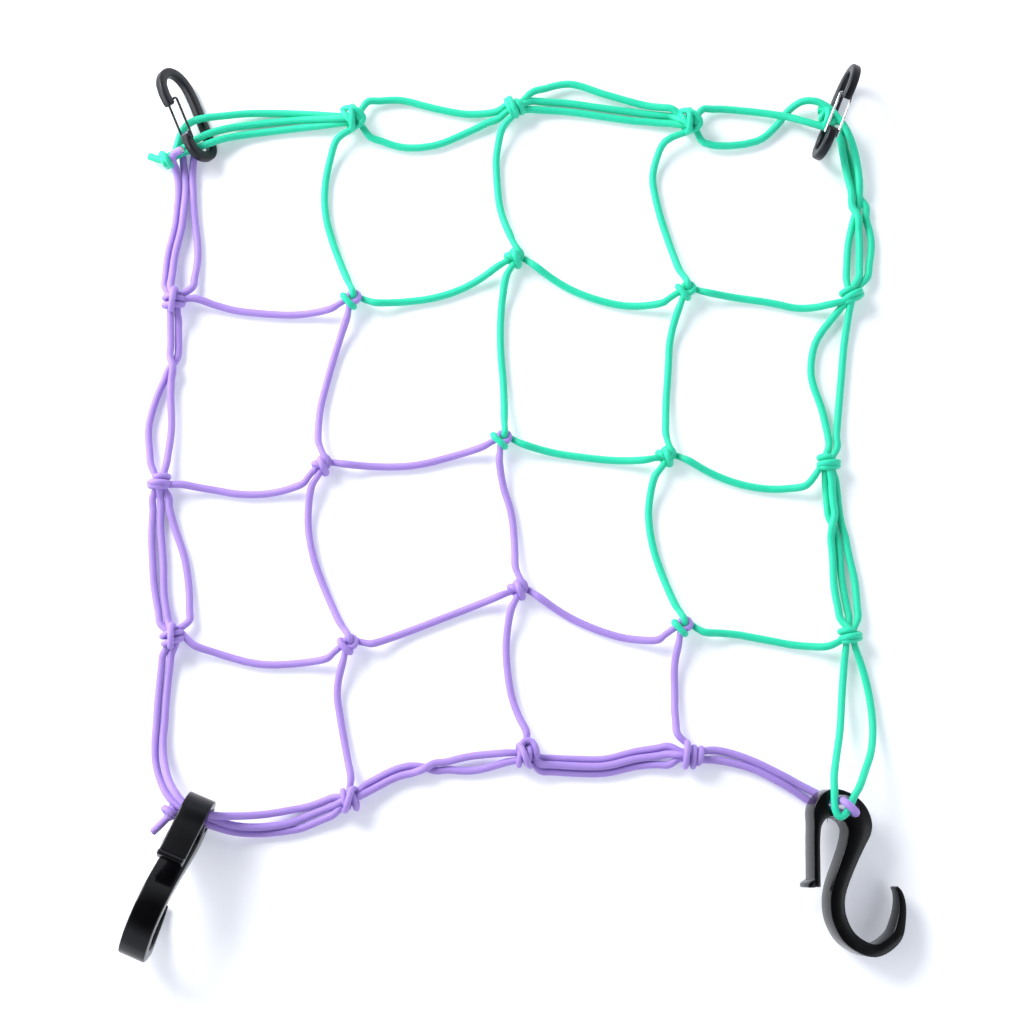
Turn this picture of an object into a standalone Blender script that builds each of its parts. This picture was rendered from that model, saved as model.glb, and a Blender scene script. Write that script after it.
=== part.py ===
"""Elastic luggage net: two braided shock cords knotted into a four by four mesh.

A green cord makes the upper right half and a purple cord the lower left half.
Two wire-gate clips hold the upper corners and two strap hooks the lower ones.
The net lies on the plane z = 0, +X to its right and +Y to its clip end.
Sizes are in millimetres until a mesh is made, and the meshes are in metres.
"""
import math

import bmesh
import bpy
import numpy as np
from mathutils import Matrix, Vector

# ---------------------------------------------------------------- driving sizes
MM = 0.001
CORD = 4.0            # diameter of the slack cord
KNOT_CORD = 2.75      # diameter of the cord drawn tight in a knot
GAP = 0.35            # clearance kept between pieces
LIE = CORD / 2 + 0.1  # height of a lying strand's middle
CORD_SIDES = 6
STRAND_STEP = 16.0    # between the rings of a strand's tube
KNOT_STEP = 3.0       # between the rings of a knot's tube
FINE_STEP = 1.6       # the same where both colours meet

TIGHT = KNOT_CORD + 0.6      # between the middles of two touching turns
KNOT_LOW = -1.40 * TIGHT     # how far a knot's turns reach below its middle
KNOT_HIGH = 1.25 * TIGHT     # and above it
KNOT_RISE = -KNOT_LOW + KNOT_CORD / 2
TAIL = 3.5 * TIGHT           # from a knot's middle to where its strands are free

SLOT = 1.75           # half the spacing of the border strands inside a knot
BAND_OVERLAP = 0.5    # how deep a border knot's band bites into its strands
BAND_TURNS = 1.6
BAND_PITCH = KNOT_CORD + 0.5

GREEN = (0.02, 0.75, 0.48, 1)
PURPLE = (0.50, 0.30, 0.80, 1)
BLACK = (0.012, 0.012, 0.013, 1)
SILVER = (0.75, 0.75, 0.74, 1)

MIDDLE = (1.9, 4.1)  # of the whole net's box, in the tables' coordinates; it goes to the origin

# ---------------------------------------------------------------- where the knots lie
# name: (x, y); T, R, B and L are the border's four sides, N the inner knots
KNOTS = {
    "T1": (-91, 226), "T2": (1, 233), "T3": (101, 224),
    "R1": (192, 123), "R2": (177, 27), "R3": (187, -70),
    "B1": (-89, -160), "B2": (7, -136), "B3": (95, -136),
    "L1": (-191, 119), "L2": (-197, 16), "L3": (-188, -71),
    "N11": (-90, 121), "N21": (2, 146), "N31": (99, 126),
    "N12": (-106, 27), "N22": (-5, 41), "N32": (87, 32),
    "N13": (-90, -74), "N23": (4, -43), "N33": (95, -64),
    "TL": (-189, 210), "TR": (186, 226), "BL": (-183, -163), "BR": (179, -163),
}
# inner knots whose wrap shows from below instead of from above
TURNED = {"N21", "N32", "N12", "N23"}
MIXED = {"N11", "N22", "N33"}        # knots of both colours

# A strand's bow is how far it lies to the left of the straight line between
# its two knots, at a tenth, three, five, seven and nine tenths of the way.
BOW_AT = (0.1, 0.3, 0.5, 0.7, 0.9)

# (first knot, second knot): bows
INNER = {
    ("T1", "N11"): (-8, -15, -16, -11, -3),
    ("T2", "N21"): (-5, -10, -10, -8, -2),
    ("T3", "N31"): (-12, -20, -17, -11, -4),
    ("L1", "N11"): (2, -4, -7, -8, -5),
    ("N11", "N21"): (-5, -9, -11, -9, -3),
    ("N21", "N31"): (-3, -11, -15, -15, -9),
    ("N31", "R1"): (-1, -3, -5, -8, -5),
    ("N11", "N12"): (-1, -4, -6, -7, -4),
    ("N21", "N22"): (-4, -6, -5, -2, 0),
    ("N31", "N32"): (-3, -6, -5, -4, -2),
    ("L2", "N12"): (-2, -7, -12, -13, -9),
    ("N12", "N22"): (-2, -6, -8, -6, -3),
    ("N22", "N32"): (-2, -5, -6, -6, -4),
    ("N32", "R2"): (-2, -10, -15, -16, -12),
    ("N12", "N13"): (-7, -13, -13, -9, -3),
    ("N22", "N23"): (-3, -3, 0, 0, -1),
    ("N32", "N33"): (-7, -13, -13, -9, -3),
    ("L3", "N13"): (-3, -9, -13, -12, -8),
    ("N13", "N23"): (-4, -4, -3, -2, -1),
    ("N23", "N33"): (-2, -9, -13, -14, -10),
    ("N33", "R3"): (-3, -3, -5, -7, -6),
    ("N13", "B1"): (-3, -7, -5, -2, 1),
    ("N23", "B2"): (-4, -8, -8, -5, 2),
    ("N33", "B3"): (-2, -5, -5, -5, -3),
}

# Each twine runs through the inner knots and ends in two border knots.
TWINES = {
    "green": (
        ("T1", "N11", "N21", "N22", "N32", "N33", "R3"),
        ("T2", "N21", "N31", "N32", "R2"),
        ("T3", "N31", "R1"),
    ),
    "purple": (
        ("L1", "N11", "N12", "N22", "N23", "N33", "B3"),
        ("L2", "N12", "N13", "N23", "B2"),
        ("L3", "N13", "B1"),
    ),
}

# Border strands between two knots: (level, bows); a higher level crosses over.
BORDER = {
    ("T1", "T2"): ((0, (10, 10, 4, -1, -2)), (0, (-11, -18, -18, -12, -5))),
    ("T2", "T3"): ((1, (10, 17, 13, 9, 6)), (0, (5, 6, 5, 4, 3)), (0, (0, 1, 0, -1, 0))),
    ("T3", "TR"): ((0, (8, 8, 5, 0, -3)), (0, (-12, -17, -8, 7, 11))),
    ("TR", "R1"): ((1, (3, 5, 6, 7, 5)), (0, (6, 8, 8, 1, -2)), (0, (8, 9, 11, 14, 10))),
    ("R1", "R2"): ((0, (0, 0, 1, 2, 3)), (0, (-6, -16, -16, -7, 0))),
    ("R2", "R3"): ((0, (2, 3, 5, 7, 6)), (0, (-2, -2, 0, 0, 1)), (1, (1, -1, -3, -5, -4))),
    ("TL", "L1"): ((0, (-3, 0, -1, -5, -5)), (1, (1, 2, 2, -1, -3)), (0, (5, 7, 10, 12, 10))),
    ("L1", "L2"): ((1, (-1, 1, 2, 4, 3)), (0, (3, 3, -5, -9, -6))),
    ("L2", "L3"): ((0, (-3, -7, -8, -8, -5)), (0, (3, 6, 10, 11, 10)), (0, (-1, -2, -2, -3, -3))),
    ("L3", "BL"): ((0, (-5, -8, -10, -11, -6)), (0, (-2, -5, -7, -8, -2))),
    ("BL", "B1"): ((0, (-5, -7, -7, -4, 0)), (0, (-9, -12, -14, -10, -2)), (0, (-10, -14, -18, -15, -8))),
    ("B1", "B2"): ((1, (2, 6, 7, 7, 4)), (0, (5, 10, 5, -1, -1))),
    ("B2", "B3"): ((0, (-2, -3, -3, 2, 5)), (0, (-8, -9, -9, -5, -5)), (1, (-4, -5, -5, -2, 1))),
}
# parts of the way between two border knots where a border strand has a ring
STATIONS = (0.1, 0.24, 0.41, 0.59, 0.76, 0.9)
LEVEL_RISE = 1.5
OUTER_SIDE = {"T": 1, "R": 1, "L": -1, "B": -1}   # the border's outer side lies to the left or right

# Routes round the corners, one (x, y, z) a point, chosen by hand.
GREEN_TL = {
    "top": ((-207.3, 206.0, 3.2), (-201.9, 204.8, 4.8), (-196.1, 205.4, 6.2), (-192.0, 208.6, 7.0),
            (-190.6, 213.0, 7.2), (-188.7, 217.4, 7.2), (-185.6, 221.3, 7.6), (-181.0, 224.0, 8.4),
            (-175.4, 225.6, 8.2), (-164.8, 227.6, 6.0), (-148.7, 229.9, 3.4), (-120.0, 229.8, 2.4)),
    "middle": ((-197.5, 202.6, 7.0), (-192.4, 204.8, 7.8), (-186.6, 208.0, 8.4), (-181.6, 211.6, 8.6),
               (-174.6, 215.6, 8.4), (-166.7, 218.9, 6.6), (-156.6, 221.9, 3.8), (-124.0, 226.0, 2.6)),
    "low": ((-193.6, 198.8, 5.4), (-189.0, 200.4, 7.6), (-184.0, 203.6, 8.4), (-178.4, 207.3, 8.8),
            (-171.8, 210.8, 8.6), (-164.6, 214.1, 6.0), (-154.6, 217.0, 3.0), (-122.0, 221.4, 2.4)),
}
PURPLE_TL = {
    "curl": ((-187.4, 206.4, 14.0), (-190.0, 205.4, 14.5), (-193.6, 203.0, 14.5), (-196.8, 198.4, 13.4),
             (-197.6, 195.0, 8.4), (-194.6, 192.6, 3.4), (-190.8, 186.0, 2.4)),
    "middle": ((-187.2, 215.0, 3.0), (-188.2, 209.0, 2.5), (-187.6, 200.0, 2.4), (-186.0, 188.0, 2.4)),
    "inner": ((-181.4, 205.6, 2.6), (-182.2, 198.0, 2.4), (-182.0, 187.0, 2.4)),
}
GREEN_TR = {
    "top": ((154.4, 228.0, 5.0), (167.3, 223.8, 7.6), (176.5, 220.6, 8.8), (182.6, 218.6, 9.2),
            (186.6, 213.6, 8.8), (188.4, 205.0, 7.0), (190.6, 194.0, 5.4), (193.0, 183.0, 5.4)),
    "low": ((140.1, 213.8, 2.4), (151.2, 222.6, 2.6), (157.6, 230.6, 4.4), (165.5, 235.6, 7.4),
            (173.3, 235.4, 8.6), (180.6, 231.2, 9.2), (186.0, 225.0, 9.4), (190.6, 217.6, 9.8),
            (194.0, 208.8, 9.2), (196.4, 198.6, 7.4), (197.6, 187.0, 6.6)),
    "outer": ((186.2, 219.4, 8.6), (189.8, 211.0, 4.8), (193.0, 201.0, 2.4), (195.8, 190.5, 2.2),
              (198.4, 180.0, 2.2)),
    "tail": ((186.4, 222.6, 8.6), (183.0, 227.6, 8.0), (178.8, 230.4, 7.6), (174.6, 230.4, 6.8)),
}
PURPLE_BL = {
    "inner": ((-192.4, -128.0, 3.0), (-191.0, -139.4, 6.0), (-187.6, -149.4, 11.0), (-182.4, -157.6, 15.8),
              (-176.8, -163.2, 17.8), (-170.5, -166.2, 18.0), (-162.6, -168.6, 16.6), (-151.0, -169.0, 11.4),
              (-135.0, -168.0, 6.0), (-120.0, -165.4, 3.0)),
    "outer": ((-196.8, -128.0, 2.6), (-196.2, -139.0, 3.2), (-193.0, -149.6, 5.6), (-187.6, -158.6, 9.6),
              (-180.4, -164.4, 11.9), (-170.9, -167.4, 12.4), (-162.4, -170.8, 11.6), (-151.0, -174.2, 8.4),
              (-136.0, -174.8, 5.4), (-121.0, -172.6, 3.4)),
    "tail": ((-196.6, -178.9, 6.0), (-192.2, -173.4, 7.4), (-187.2, -168.8, 8.5), (-180.0, -168.8, 8.7),
             (-172.6, -171.4, 9.2), (-165.0, -173.8, 9.4), (-152.0, -177.6, 4.4), (-137.0, -178.4, 2.4),
             (-122.0, -176.8, 2.4)),
}
GREEN_BR = ((183.6, -88.0, 3.4), (182.0, -104.0, 4.6), (180.0, -122.0, 9.6), (176.4, -138.0, 18.0),
            (174.3, -148.0, 24.0), (174.1, -154.4, 25.8), (174.1, -161.4, 25.8), (174.5, -165.9, 25.7),
            (176.6, -169.5, 25.3), (179.9, -168.0, 24.8), (182.6, -163.3, 24.4), (184.9, -158.6, 23.9),
            (188.0, -153.6, 22.6), (192.0, -145.0, 17.4), (197.0, -133.0, 9.5), (198.8, -119.0, 4.4),
            (197.6, -104.0, 2.6), (194.6, -90.0, 2.8))
PURPLE_BR = ((112.0, -132.4, 2.6), (130.0, -137.2, 2.6), (149.6, -146.5, 2.6), (158.0, -151.2, 2.8),
             (166.0, -156.0, 3.8), (173.5, -160.2, 5.6), (177.4, -161.0, 9.4), (178.3, -160.8, 15.0),
             (178.3, -160.8, 21.0), (178.4, -160.8, 25.2), (179.0, -161.2, 27.4), (181.4, -163.4, 29.2),
             (184.8, -166.6, 27.8), (185.7, -167.6, 23.4), (185.0, -167.4, 17.0), (183.6, -167.2, 9.4),
             (181.0, -167.0, 4.4), (175.0, -165.4, 2.5), (168.5, -163.2, 2.4), (163.6, -160.9, 2.4),
             (154.0, -155.0, 2.4), (144.6, -149.5, 2.4), (131.0, -143.6, 2.4), (112.0, -140.6, 2.6))
# ball knots at the corners: (x, y, z), plan angle of the axis, turn radius, turns
BALLS = {
    "green_tl": ((-195.8, 203.6, 6.4), 15, 3.9, 1.6),
    "green_tr": ((185.2, 219.6, 9.9), -45, 4.2, 1.7),
    "purple_bl": ((-187.2, -168.8, 8.5), 40, 3.0, 1.7),
}

# ---------------------------------------------------------------- the strap hook
# Sections along the hook in its own plane: middle x, middle y, thickness.
HOOK = (
    (-9.4, -36.6, 3.7), (-9.3, -23.0, 3.7), (-9.1, -10.0, 3.8), (-8.4, -3.0, 4.8),
    (-5.8, 4.2, 10.6), (0.4, 8.2, 15.2), (7.4, 6.6, 15.4), (13.0, 2.2, 15.0),
    (15.4, -4.6, 14.2), (13.2, -12.6, 11.0), (9.4, -21.6, 9.4), (3.1, -37.2, 8.7),
    (1.8, -46.0, 8.4), (3.3, -54.8, 8.3), (9.4, -64.6, 7.8), (23.0, -70.6, 7.0),
    (34.8, -63.8, 6.4), (38.6, -54.0, 5.0), (39.6, -45.6, 4.0), (38.6, -39.6, 3.0),
    (36.6, -36.6, 1.6),
)
TONGUE_ENDS = {"left_hook": -27.6, "right_hook": -36.6}     # y of the first section
HOOK_WIDTH = 15.0
HOOK_LIP = (3.4, 2.4)        # how far the lip stands out at the strap's free end, and its thickness
# the hole that the cords run through: middle line and half its width
HOOK_HOLE = ((-1.5, 6.6), (5.2, 8.1), (11.4, 4.4))
HOOK_HOLE_HALF = 5.1
RIGHT_HOOK_AT = (170.4, -170.4)
HOOK_ROLL = math.radians(12)
LEFT_HOOK_AT = (-173.2, -172.3)
LEFT_HOOK_HEADING = math.radians(-113)   # plan direction from its hole to its bowl
LEFT_HOOK_PITCH = math.radians(21.2)     # it stands on its bowl's tip and on its hole's outer side

# ---------------------------------------------------------------- the wire-gate clip
# The bar's middle line: along the clip from its lower end, and across from its back.
CLIP = (
    (16.2, 18.8), (12.0, 19.0), (7.2, 18.0), (3.6, 14.8), (2.4, 10.6), (3.4, 6.0),
    (7.2, 3.0), (13.6, 2.6), (28.0, 2.6), (43.0, 3.4), (49.6, 5.6),
    (54.0, 9.6), (55.2, 14.6), (53.2, 19.4), (48.8, 22.8), (43.2, 23.8), (38.2, 23.4),
    (34.6, 22.4),
)
CLIP_BAR = 5.2               # diameter of the bar
GATE_WIRE = 1.4
GATE_PIN = (16.2, 18.8)      # the gate turns here
GATE_TIP = (38.4, 19.5)      # its cross wire, against the inside of the nose
GATE_HALF = CLIP_BAR / 2 + GATE_WIRE / 2 + GAP    # its legs run this far to each side of the bar's middle
GATE_BEND = 1.6              # radius of its bends at the cross wire
# plan place of the back's middle line at the lower end, plan heading, lean to the left from upright
CLIPS = {
    "left": ((-168.8, 202.4), math.radians(111.5), math.radians(40)),
    "right": ((172.2, 201.9), math.radians(68.6), math.radians(-12)),
}


# ---------------------------------------------------------------- scene and materials
def clear_scene():
    for obj in list(bpy.data.objects):
        bpy.data.objects.remove(obj)


def make_collection(name):
    group = bpy.data.collections.new(name)
    bpy.context.scene.collection.children.link(group)
    return group


def make_material(name, colour, roughness, metallic=0.0):
    material = bpy.data.materials.new(name)
    material.use_nodes = True
    shader = material.node_tree.nodes["Principled BSDF"]
    shader.inputs["Base Color"].default_value = colour
    shader.inputs["Roughness"].default_value = roughness
    shader.inputs["Metallic"].default_value = metallic
    material.diffuse_color = colour
    return material


# ---------------------------------------------------------------- curves
def spread(points, step):
    """Points at even distances of about step along a polyline, ends kept."""
    points = np.asarray(points, float)
    along = np.concatenate([[0], np.cumsum(np.linalg.norm(np.diff(points, axis=0), axis=1))])
    count = max(2, int(round(along[-1] / step)) + 1)
    where = np.linspace(0, along[-1], count)
    return np.stack([np.interp(where, along, points[:, k]) for k in range(3)], axis=1)


def smooth(points, fine=8):
    """A Catmull-Rom curve through the points, spaced by the square root of their distances."""
    points = np.asarray(points, float)
    ends = np.vstack([2 * points[0] - points[1], points, 2 * points[-1] - points[-2]])
    out = []
    for k in range(1, len(ends) - 2):
        p0, p1, p2, p3 = ends[k - 1:k + 3]
        t0 = 0.0
        t1 = t0 + math.sqrt(np.linalg.norm(p1 - p0))
        t2 = t1 + math.sqrt(np.linalg.norm(p2 - p1))
        t3 = t2 + math.sqrt(np.linalg.norm(p3 - p2))
        for t in np.linspace(t1, t2, fine, endpoint=False):
            a1 = (t1 - t) / (t1 - t0) * p0 + (t - t0) / (t1 - t0) * p1
            a2 = (t2 - t) / (t2 - t1) * p1 + (t - t1) / (t2 - t1) * p2
            a3 = (t3 - t) / (t3 - t2) * p2 + (t - t2) / (t3 - t2) * p3
            b1 = (t2 - t) / (t2 - t0) * a1 + (t - t0) / (t2 - t0) * a2
            b2 = (t3 - t) / (t3 - t1) * a2 + (t - t1) / (t3 - t1) * a3
            out.append((t2 - t) / (t2 - t1) * b1 + (t - t1) / (t2 - t1) * b2)
    out.append(points[-1])
    return np.array(out)


def mesh_tube(name, points, radii, sides, material, group):
    """A closed tube of the given radius at each point, as a mesh object."""
    curve = bpy.data.curves.new(name, "CURVE")
    curve.dimensions = "3D"
    curve.bevel_depth = MM
    curve.bevel_resolution = (sides - 4) // 2
    curve.use_fill_caps = True
    spline = curve.splines.new("POLY")
    spline.points.add(len(points) - 1)
    for place, point, radius in zip(spline.points, points, radii):
        place.co = (point[0] * MM, point[1] * MM, point[2] * MM, 1)
        place.radius = radius
    return curve_to_mesh(name, curve, material, group)


def curve_to_mesh(name, curve, material, group):
    holder = bpy.data.objects.new(name + "_curve", curve)
    bpy.context.scene.collection.objects.link(holder)
    bpy.context.view_layer.update()
    seen = holder.evaluated_get(bpy.context.evaluated_depsgraph_get())
    mesh = bpy.data.meshes.new_from_object(seen)
    mesh.name = name
    bpy.data.objects.remove(holder)
    work = bmesh.new()
    work.from_mesh(mesh)
    bmesh.ops.remove_doubles(work, verts=work.verts, dist=1e-6)
    bmesh.ops.recalc_face_normals(work, faces=work.faces)
    work.to_mesh(mesh)
    work.free()
    mesh.shade_smooth()
    mesh.set_sharp_from_angle(angle=math.radians(40))
    mesh.materials.clear()
    mesh.materials.append(material)
    obj = bpy.data.objects.new(name, mesh)
    group.objects.link(obj)
    return obj


# ---------------------------------------------------------------- inner knots
# A sheet bend in cord diameters: along towards the bight's nose, across and up.
BIGHT = ((-1.2, 0.85, 0), (0.3, 0.95, 0), (1.3, 0.75, 0), (1.75, 0, 0),
         (1.3, -0.75, 0), (0.3, -0.95, 0), (-1.2, -0.85, 0))
WRAP = ((1.3, 0.8, 1.05), (0.6, 0.15, 0.7), (0.3, 0.0, 0), (0.2, 0.1, -0.9), (0.0, 0.9, -1.95),
        (-0.3, 1.9, -1.3), (-0.6, 2.1, 0), (-0.9, 1.3, 1.0), (-0.9, 0, 1.15), (-0.9, -1.3, 0.95),
        (-0.9, -1.95, 0), (-0.8, -1.3, -1.0), (-0.6, -0.3, -1.15), (-0.35, 0.7, -1.05),
        (0.35, 1.0, -1.05), (1.1, 0.5, -1.1), (1.8, -0.6, -0.9))
ROPE_STEP = 0.35      # between a settling rope's points, in turn spacings
REACH = 1.75          # along a rope, its points this near don't push each other
BEND = 0.6            # tightest bend, in turn spacings


def tighten(ropes, rounds=110):
    """Pulls the ropes short while no two turns come nearer than TIGHT."""
    ropes = [spread(rope, ROPE_STEP * TIGHT) for rope in ropes]
    for turn in range(rounds):
        for k, rope in enumerate(ropes):
            rope[2:-2] += 0.35 * ((rope[1:-3] + rope[3:-1]) / 2 - rope[2:-2])
            if turn % 5 == 0:
                ropes[k] = spread(rope, ROPE_STEP * TIGHT)
        for _ in range(6):
            every = np.concatenate(ropes)
            owner = np.concatenate([np.full(len(r), k) for k, r in enumerate(ropes)])
            order = np.concatenate([np.arange(len(r)) for r in ropes])
            apart = every[:, None] - every[None]
            distance = np.linalg.norm(apart, axis=2)
            same = owner[:, None] == owner[None]
            along = np.abs(order[:, None] - order[None]) * ROPE_STEP
            near = same & (along < REACH)
            push = np.where(~near & (distance < TIGHT), (TIGHT - distance) / 2, 0)
            chord = 2 * BEND * np.sin(np.minimum(along, REACH) / (2 * BEND)) * TIGHT
            stiff = near & (along >= 0.95) & (distance < chord)
            push += np.where(stiff, (chord - distance) / 4, 0)
            distance[distance == 0] = 1
            move = (apart / distance[..., None] * push[..., None]).sum(axis=1)
            move /= np.clip((push > 0).sum(axis=1), 1, 2)[:, None]
            size = np.linalg.norm(move, axis=1, keepdims=True)
            move *= np.minimum(1, 0.15 * TIGHT / np.maximum(size, 1e-9))
            first = 0
            for k, rope in enumerate(ropes):
                rope[2:-2] += move[first + 2:first + len(rope) - 2]
                rope[2:-2, 2] = np.clip(rope[2:-2, 2], KNOT_LOW, KNOT_HIGH)
                first += len(rope)
    return ropes


def strand_place(pair, part):
    """Plan position of an inner strand at a part of its way between two knots."""
    start, end = np.array(KNOTS[pair[0]], float), np.array(KNOTS[pair[1]], float)
    way = end - start
    left = np.array([-way[1], way[0]]) / np.linalg.norm(way)
    bows = INNER[pair]
    curve = smooth([(0, 0, 0)] + [(100 * t, b, 0) for t, b in zip(BOW_AT, bows)] + [(100, 0, 0)])
    bow = np.interp(100 * part, curve[:, 0], curve[:, 1])
    return start + way * part + left * bow


def pair_length(pair):
    return float(np.linalg.norm(np.subtract(KNOTS[pair[1]], KNOTS[pair[0]])))


def side_of(knot, other):
    """The side on which the strand to another knot leaves."""
    way = np.subtract(KNOTS[other], KNOTS[knot])
    if abs(way[0]) > abs(way[1]):
        return "right" if way[0] > 0 else "left"
    return "up" if way[1] > 0 else "down"


def leaving(knot):
    """Where a knot's four strands are free, from its middle, by the side they leave on."""
    sides = {}
    for pair in INNER:
        if knot in pair:
            part = TAIL / pair_length(pair)
            place = strand_place(pair, part if pair[0] == knot else 1 - part)
            other = pair[1] if pair[0] == knot else pair[0]
            sides[side_of(knot, other)] = place - np.array(KNOTS[knot])
    return sides


def tie_sheet_bend(knot):
    """The knot's two ropes, tightened, each by the side it starts on and ends on."""
    ways = leaving(knot)
    turned = knot in TURNED

    def place(point):
        along, across, up = point
        if turned:
            across, up = -across, -up
        return np.array([(along - across), (along + across), up * math.sqrt(2)]) * TIGHT / math.sqrt(2)

    def tail(side):
        x, y = ways[side]
        return [np.array([x, y, 0.0]), np.array([x * 0.9, y * 0.9, 0.0])]

    bight_ends = ("down", "left") if turned else ("left", "down")
    wrap_ends = ("right", "up") if turned else ("up", "right")
    ropes = []
    for (first, last), path in ((bight_ends, BIGHT), (wrap_ends, WRAP)):
        middle = [place(p) for p in path]
        ropes.append(np.array(tail(first) + middle + tail(last)[::-1]))
    tight = tighten(ropes)
    middle = np.array([*KNOTS[knot], KNOT_RISE])
    return {ends: rope + middle for ends, rope in zip((bight_ends, wrap_ends), tight)}


def rope_between(ties, knot, first, last):
    for (a, b), rope in ties[knot].items():
        if (a, b) == (first, last):
            return rope
        if (a, b) == (last, first):
            return rope[::-1]
    raise ValueError(f"{knot} has no rope from {first} to {last}")


DROP = 26.0           # a strand reaches the surface this far from its knot


def strand_route(a, b):
    """The free stretch of an inner strand from knot a to knot b, tails left out."""
    pair = (a, b) if (a, b) in INNER else (b, a)
    length = pair_length(pair)
    edge = TAIL / length
    parts = np.linspace(edge, 1 - edge, 8)
    if pair[0] != a:
        parts = parts[::-1]
    route = []
    for part in parts:
        x, y = strand_place(pair, part)
        near = min(part, 1 - part) * length - TAIL
        rise = max(0.0, 1 - near / DROP) ** 2
        route.append((x, y, LIE + (KNOT_RISE - LIE) * rise))
    return route


def thin_out(points, radii, steps):
    """Rings close together in the knots and wide apart along the strands."""
    keep, last = [0], 0
    along = np.concatenate([[0], np.cumsum(np.linalg.norm(np.diff(points, axis=0), axis=1))])
    for k in range(1, len(points) - 1):
        step = steps[k] if radii[k] < CORD / 2 - 0.05 else STRAND_STEP
        leaves = radii[last] < CORD / 2 - 0.05 <= radii[k]
        if along[k] - along[last] >= step or leaves:
            keep.append(k)
            last = k
    keep.append(len(points) - 1)
    return points[keep], radii[keep]


def make_twine(name, stops, ties, material, group):
    """One length of cord through its inner knots, from border knot to border knot."""
    points, radii, steps = [], [], []

    def add(stretch, radius, step=STRAND_STEP):
        for k, point in enumerate(stretch):
            points.append(point)
            radii.append(radius if np.isscalar(radius) else radius[k])
            steps.append(step)

    start, end = stops[0], stops[-1]
    add([(*KNOTS[start], BUNDLE_LOW + SLOT)], KNOT_CORD / 2)
    for k in range(len(stops) - 1):
        a, b = stops[k], stops[k + 1]
        if k > 0:
            first = side_of(a, stops[k - 1])
            last = side_of(a, b)
            rope = rope_between(ties, a, first, last)
            taper = np.minimum(np.arange(len(rope)), np.arange(len(rope))[::-1]) / 3
            add(rope, KNOT_CORD / 2 + (CORD - KNOT_CORD) / 2 * np.clip(1 - taper, 0, 1),
                FINE_STEP if a in MIXED else KNOT_STEP)
        route = strand_route(a, b)
        add(route if k == 0 else route[1:], CORD / 2)
        if k < len(stops) - 2:
            for column in (points, radii, steps):
                column.pop()
    add([(*KNOTS[end], BUNDLE_LOW + SLOT)], KNOT_CORD / 2)
    points, radii = thin_out(np.array(points), np.array(radii), steps)
    return mesh_tube(name, points, radii, CORD_SIDES, material, group)


# ---------------------------------------------------------------- border knots and strands
TRIANGLE = 2 * SLOT / math.sqrt(3)      # radius of the circle through three slots
BAND_RADIUS = TRIANGLE + KNOT_CORD - BAND_OVERLAP
BUNDLE_MIDDLE = BAND_RADIUS + KNOT_CORD / 2
BUNDLE_LOW = BUNDLE_MIDDLE - TRIANGLE / 2
SLOTS = {
    "outer": (SLOT, BUNDLE_LOW),
    "inner": (-SLOT, BUNDLE_LOW),
    "spare": (0.0, BUNDLE_LOW + SLOT * math.sqrt(3)),
}


def border_way(knot):
    """Unit plan direction of the border at a knot, along the way the strands are listed."""
    ways = {"T": ("TL", "T1", "T2", "T3", "TR"), "L": ("TL", "L1", "L2", "L3", "BL"),
            "B": ("BL", "B1", "B2", "B3", "BR"), "R": ("TR", "R1", "R2", "R3", "BR")}
    run = ways[knot[0]]
    k = run.index(knot)
    way = np.subtract(KNOTS[run[k + 1]], KNOTS[run[k - 1]])
    return way / np.linalg.norm(way)


def slot_points(knot, lane, half=5.0):
    """Where a lane runs straight through a border knot."""
    way = border_way(knot)
    left = np.array([-way[1], way[0]])
    across, height = SLOTS[lane]
    across *= OUTER_SIDE[knot[0]]
    middle = np.array(KNOTS[knot]) + left * across
    return [(*(middle + way * d), height) for d in (-half, half)]


def part_circles(items):
    """Moves the circles of one cross section apart, above the surface."""
    items = np.array(items, float)
    least = CORD + 0.6
    for _ in range(60):
        for i in range(len(items)):
            for j in range(i + 1, len(items)):
                way = items[j] - items[i]
                distance = max(np.linalg.norm(way), 1e-6)
                if distance < least:
                    step = way / distance * (least - distance) / 2
                    items[i] -= step
                    items[j] += step
        items[:, 1] = np.maximum(items[:, 1], LIE)
    return items


def border_span(a, b, first=0.0, last=1.0):
    """Routes of the strands between two border knots, kept off each other."""
    rows = BORDER[a, b]
    start, end = np.array(KNOTS[a], float), np.array(KNOTS[b], float)
    way = end - start
    length = np.linalg.norm(way)
    left = np.array([-way[1], way[0]]) / length
    routes = [[] for _ in rows]
    for part in STATIONS:
        if not first <= part <= last:
            continue
        near = min(part if a[1].isdigit() else 1, 1 - part if b[1].isdigit() else 1)
        rise = max(0.0, 1 - (near * length - 6.0) / DROP) ** 2 * (BUNDLE_LOW - LIE)
        items = []
        for level, bows in rows:
            curve = smooth([(100 * t, bow, 0) for t, bow in zip(BOW_AT, bows)])
            items.append((np.interp(100 * part, curve[:, 0], curve[:, 1]), LIE + rise + level * LEVEL_RISE))
        for route, (bow, height) in zip(routes, part_circles(items)):
            route.append((*(start + way * part + left * bow), height))
    return routes


def make_lane(name, stretches, material, group):
    """A border strand: free stretches and knot passes in turn."""
    points, radii = [], []
    for kind, stretch in stretches:
        tight = kind == "knot"
        for point in stretch:
            points.append(point)
            radii.append(KNOT_CORD / 2 + 0.1 if tight else CORD / 2)
    points = np.array(points, float)
    return mesh_tube(name, points, radii, CORD_SIDES, material, group)


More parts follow.
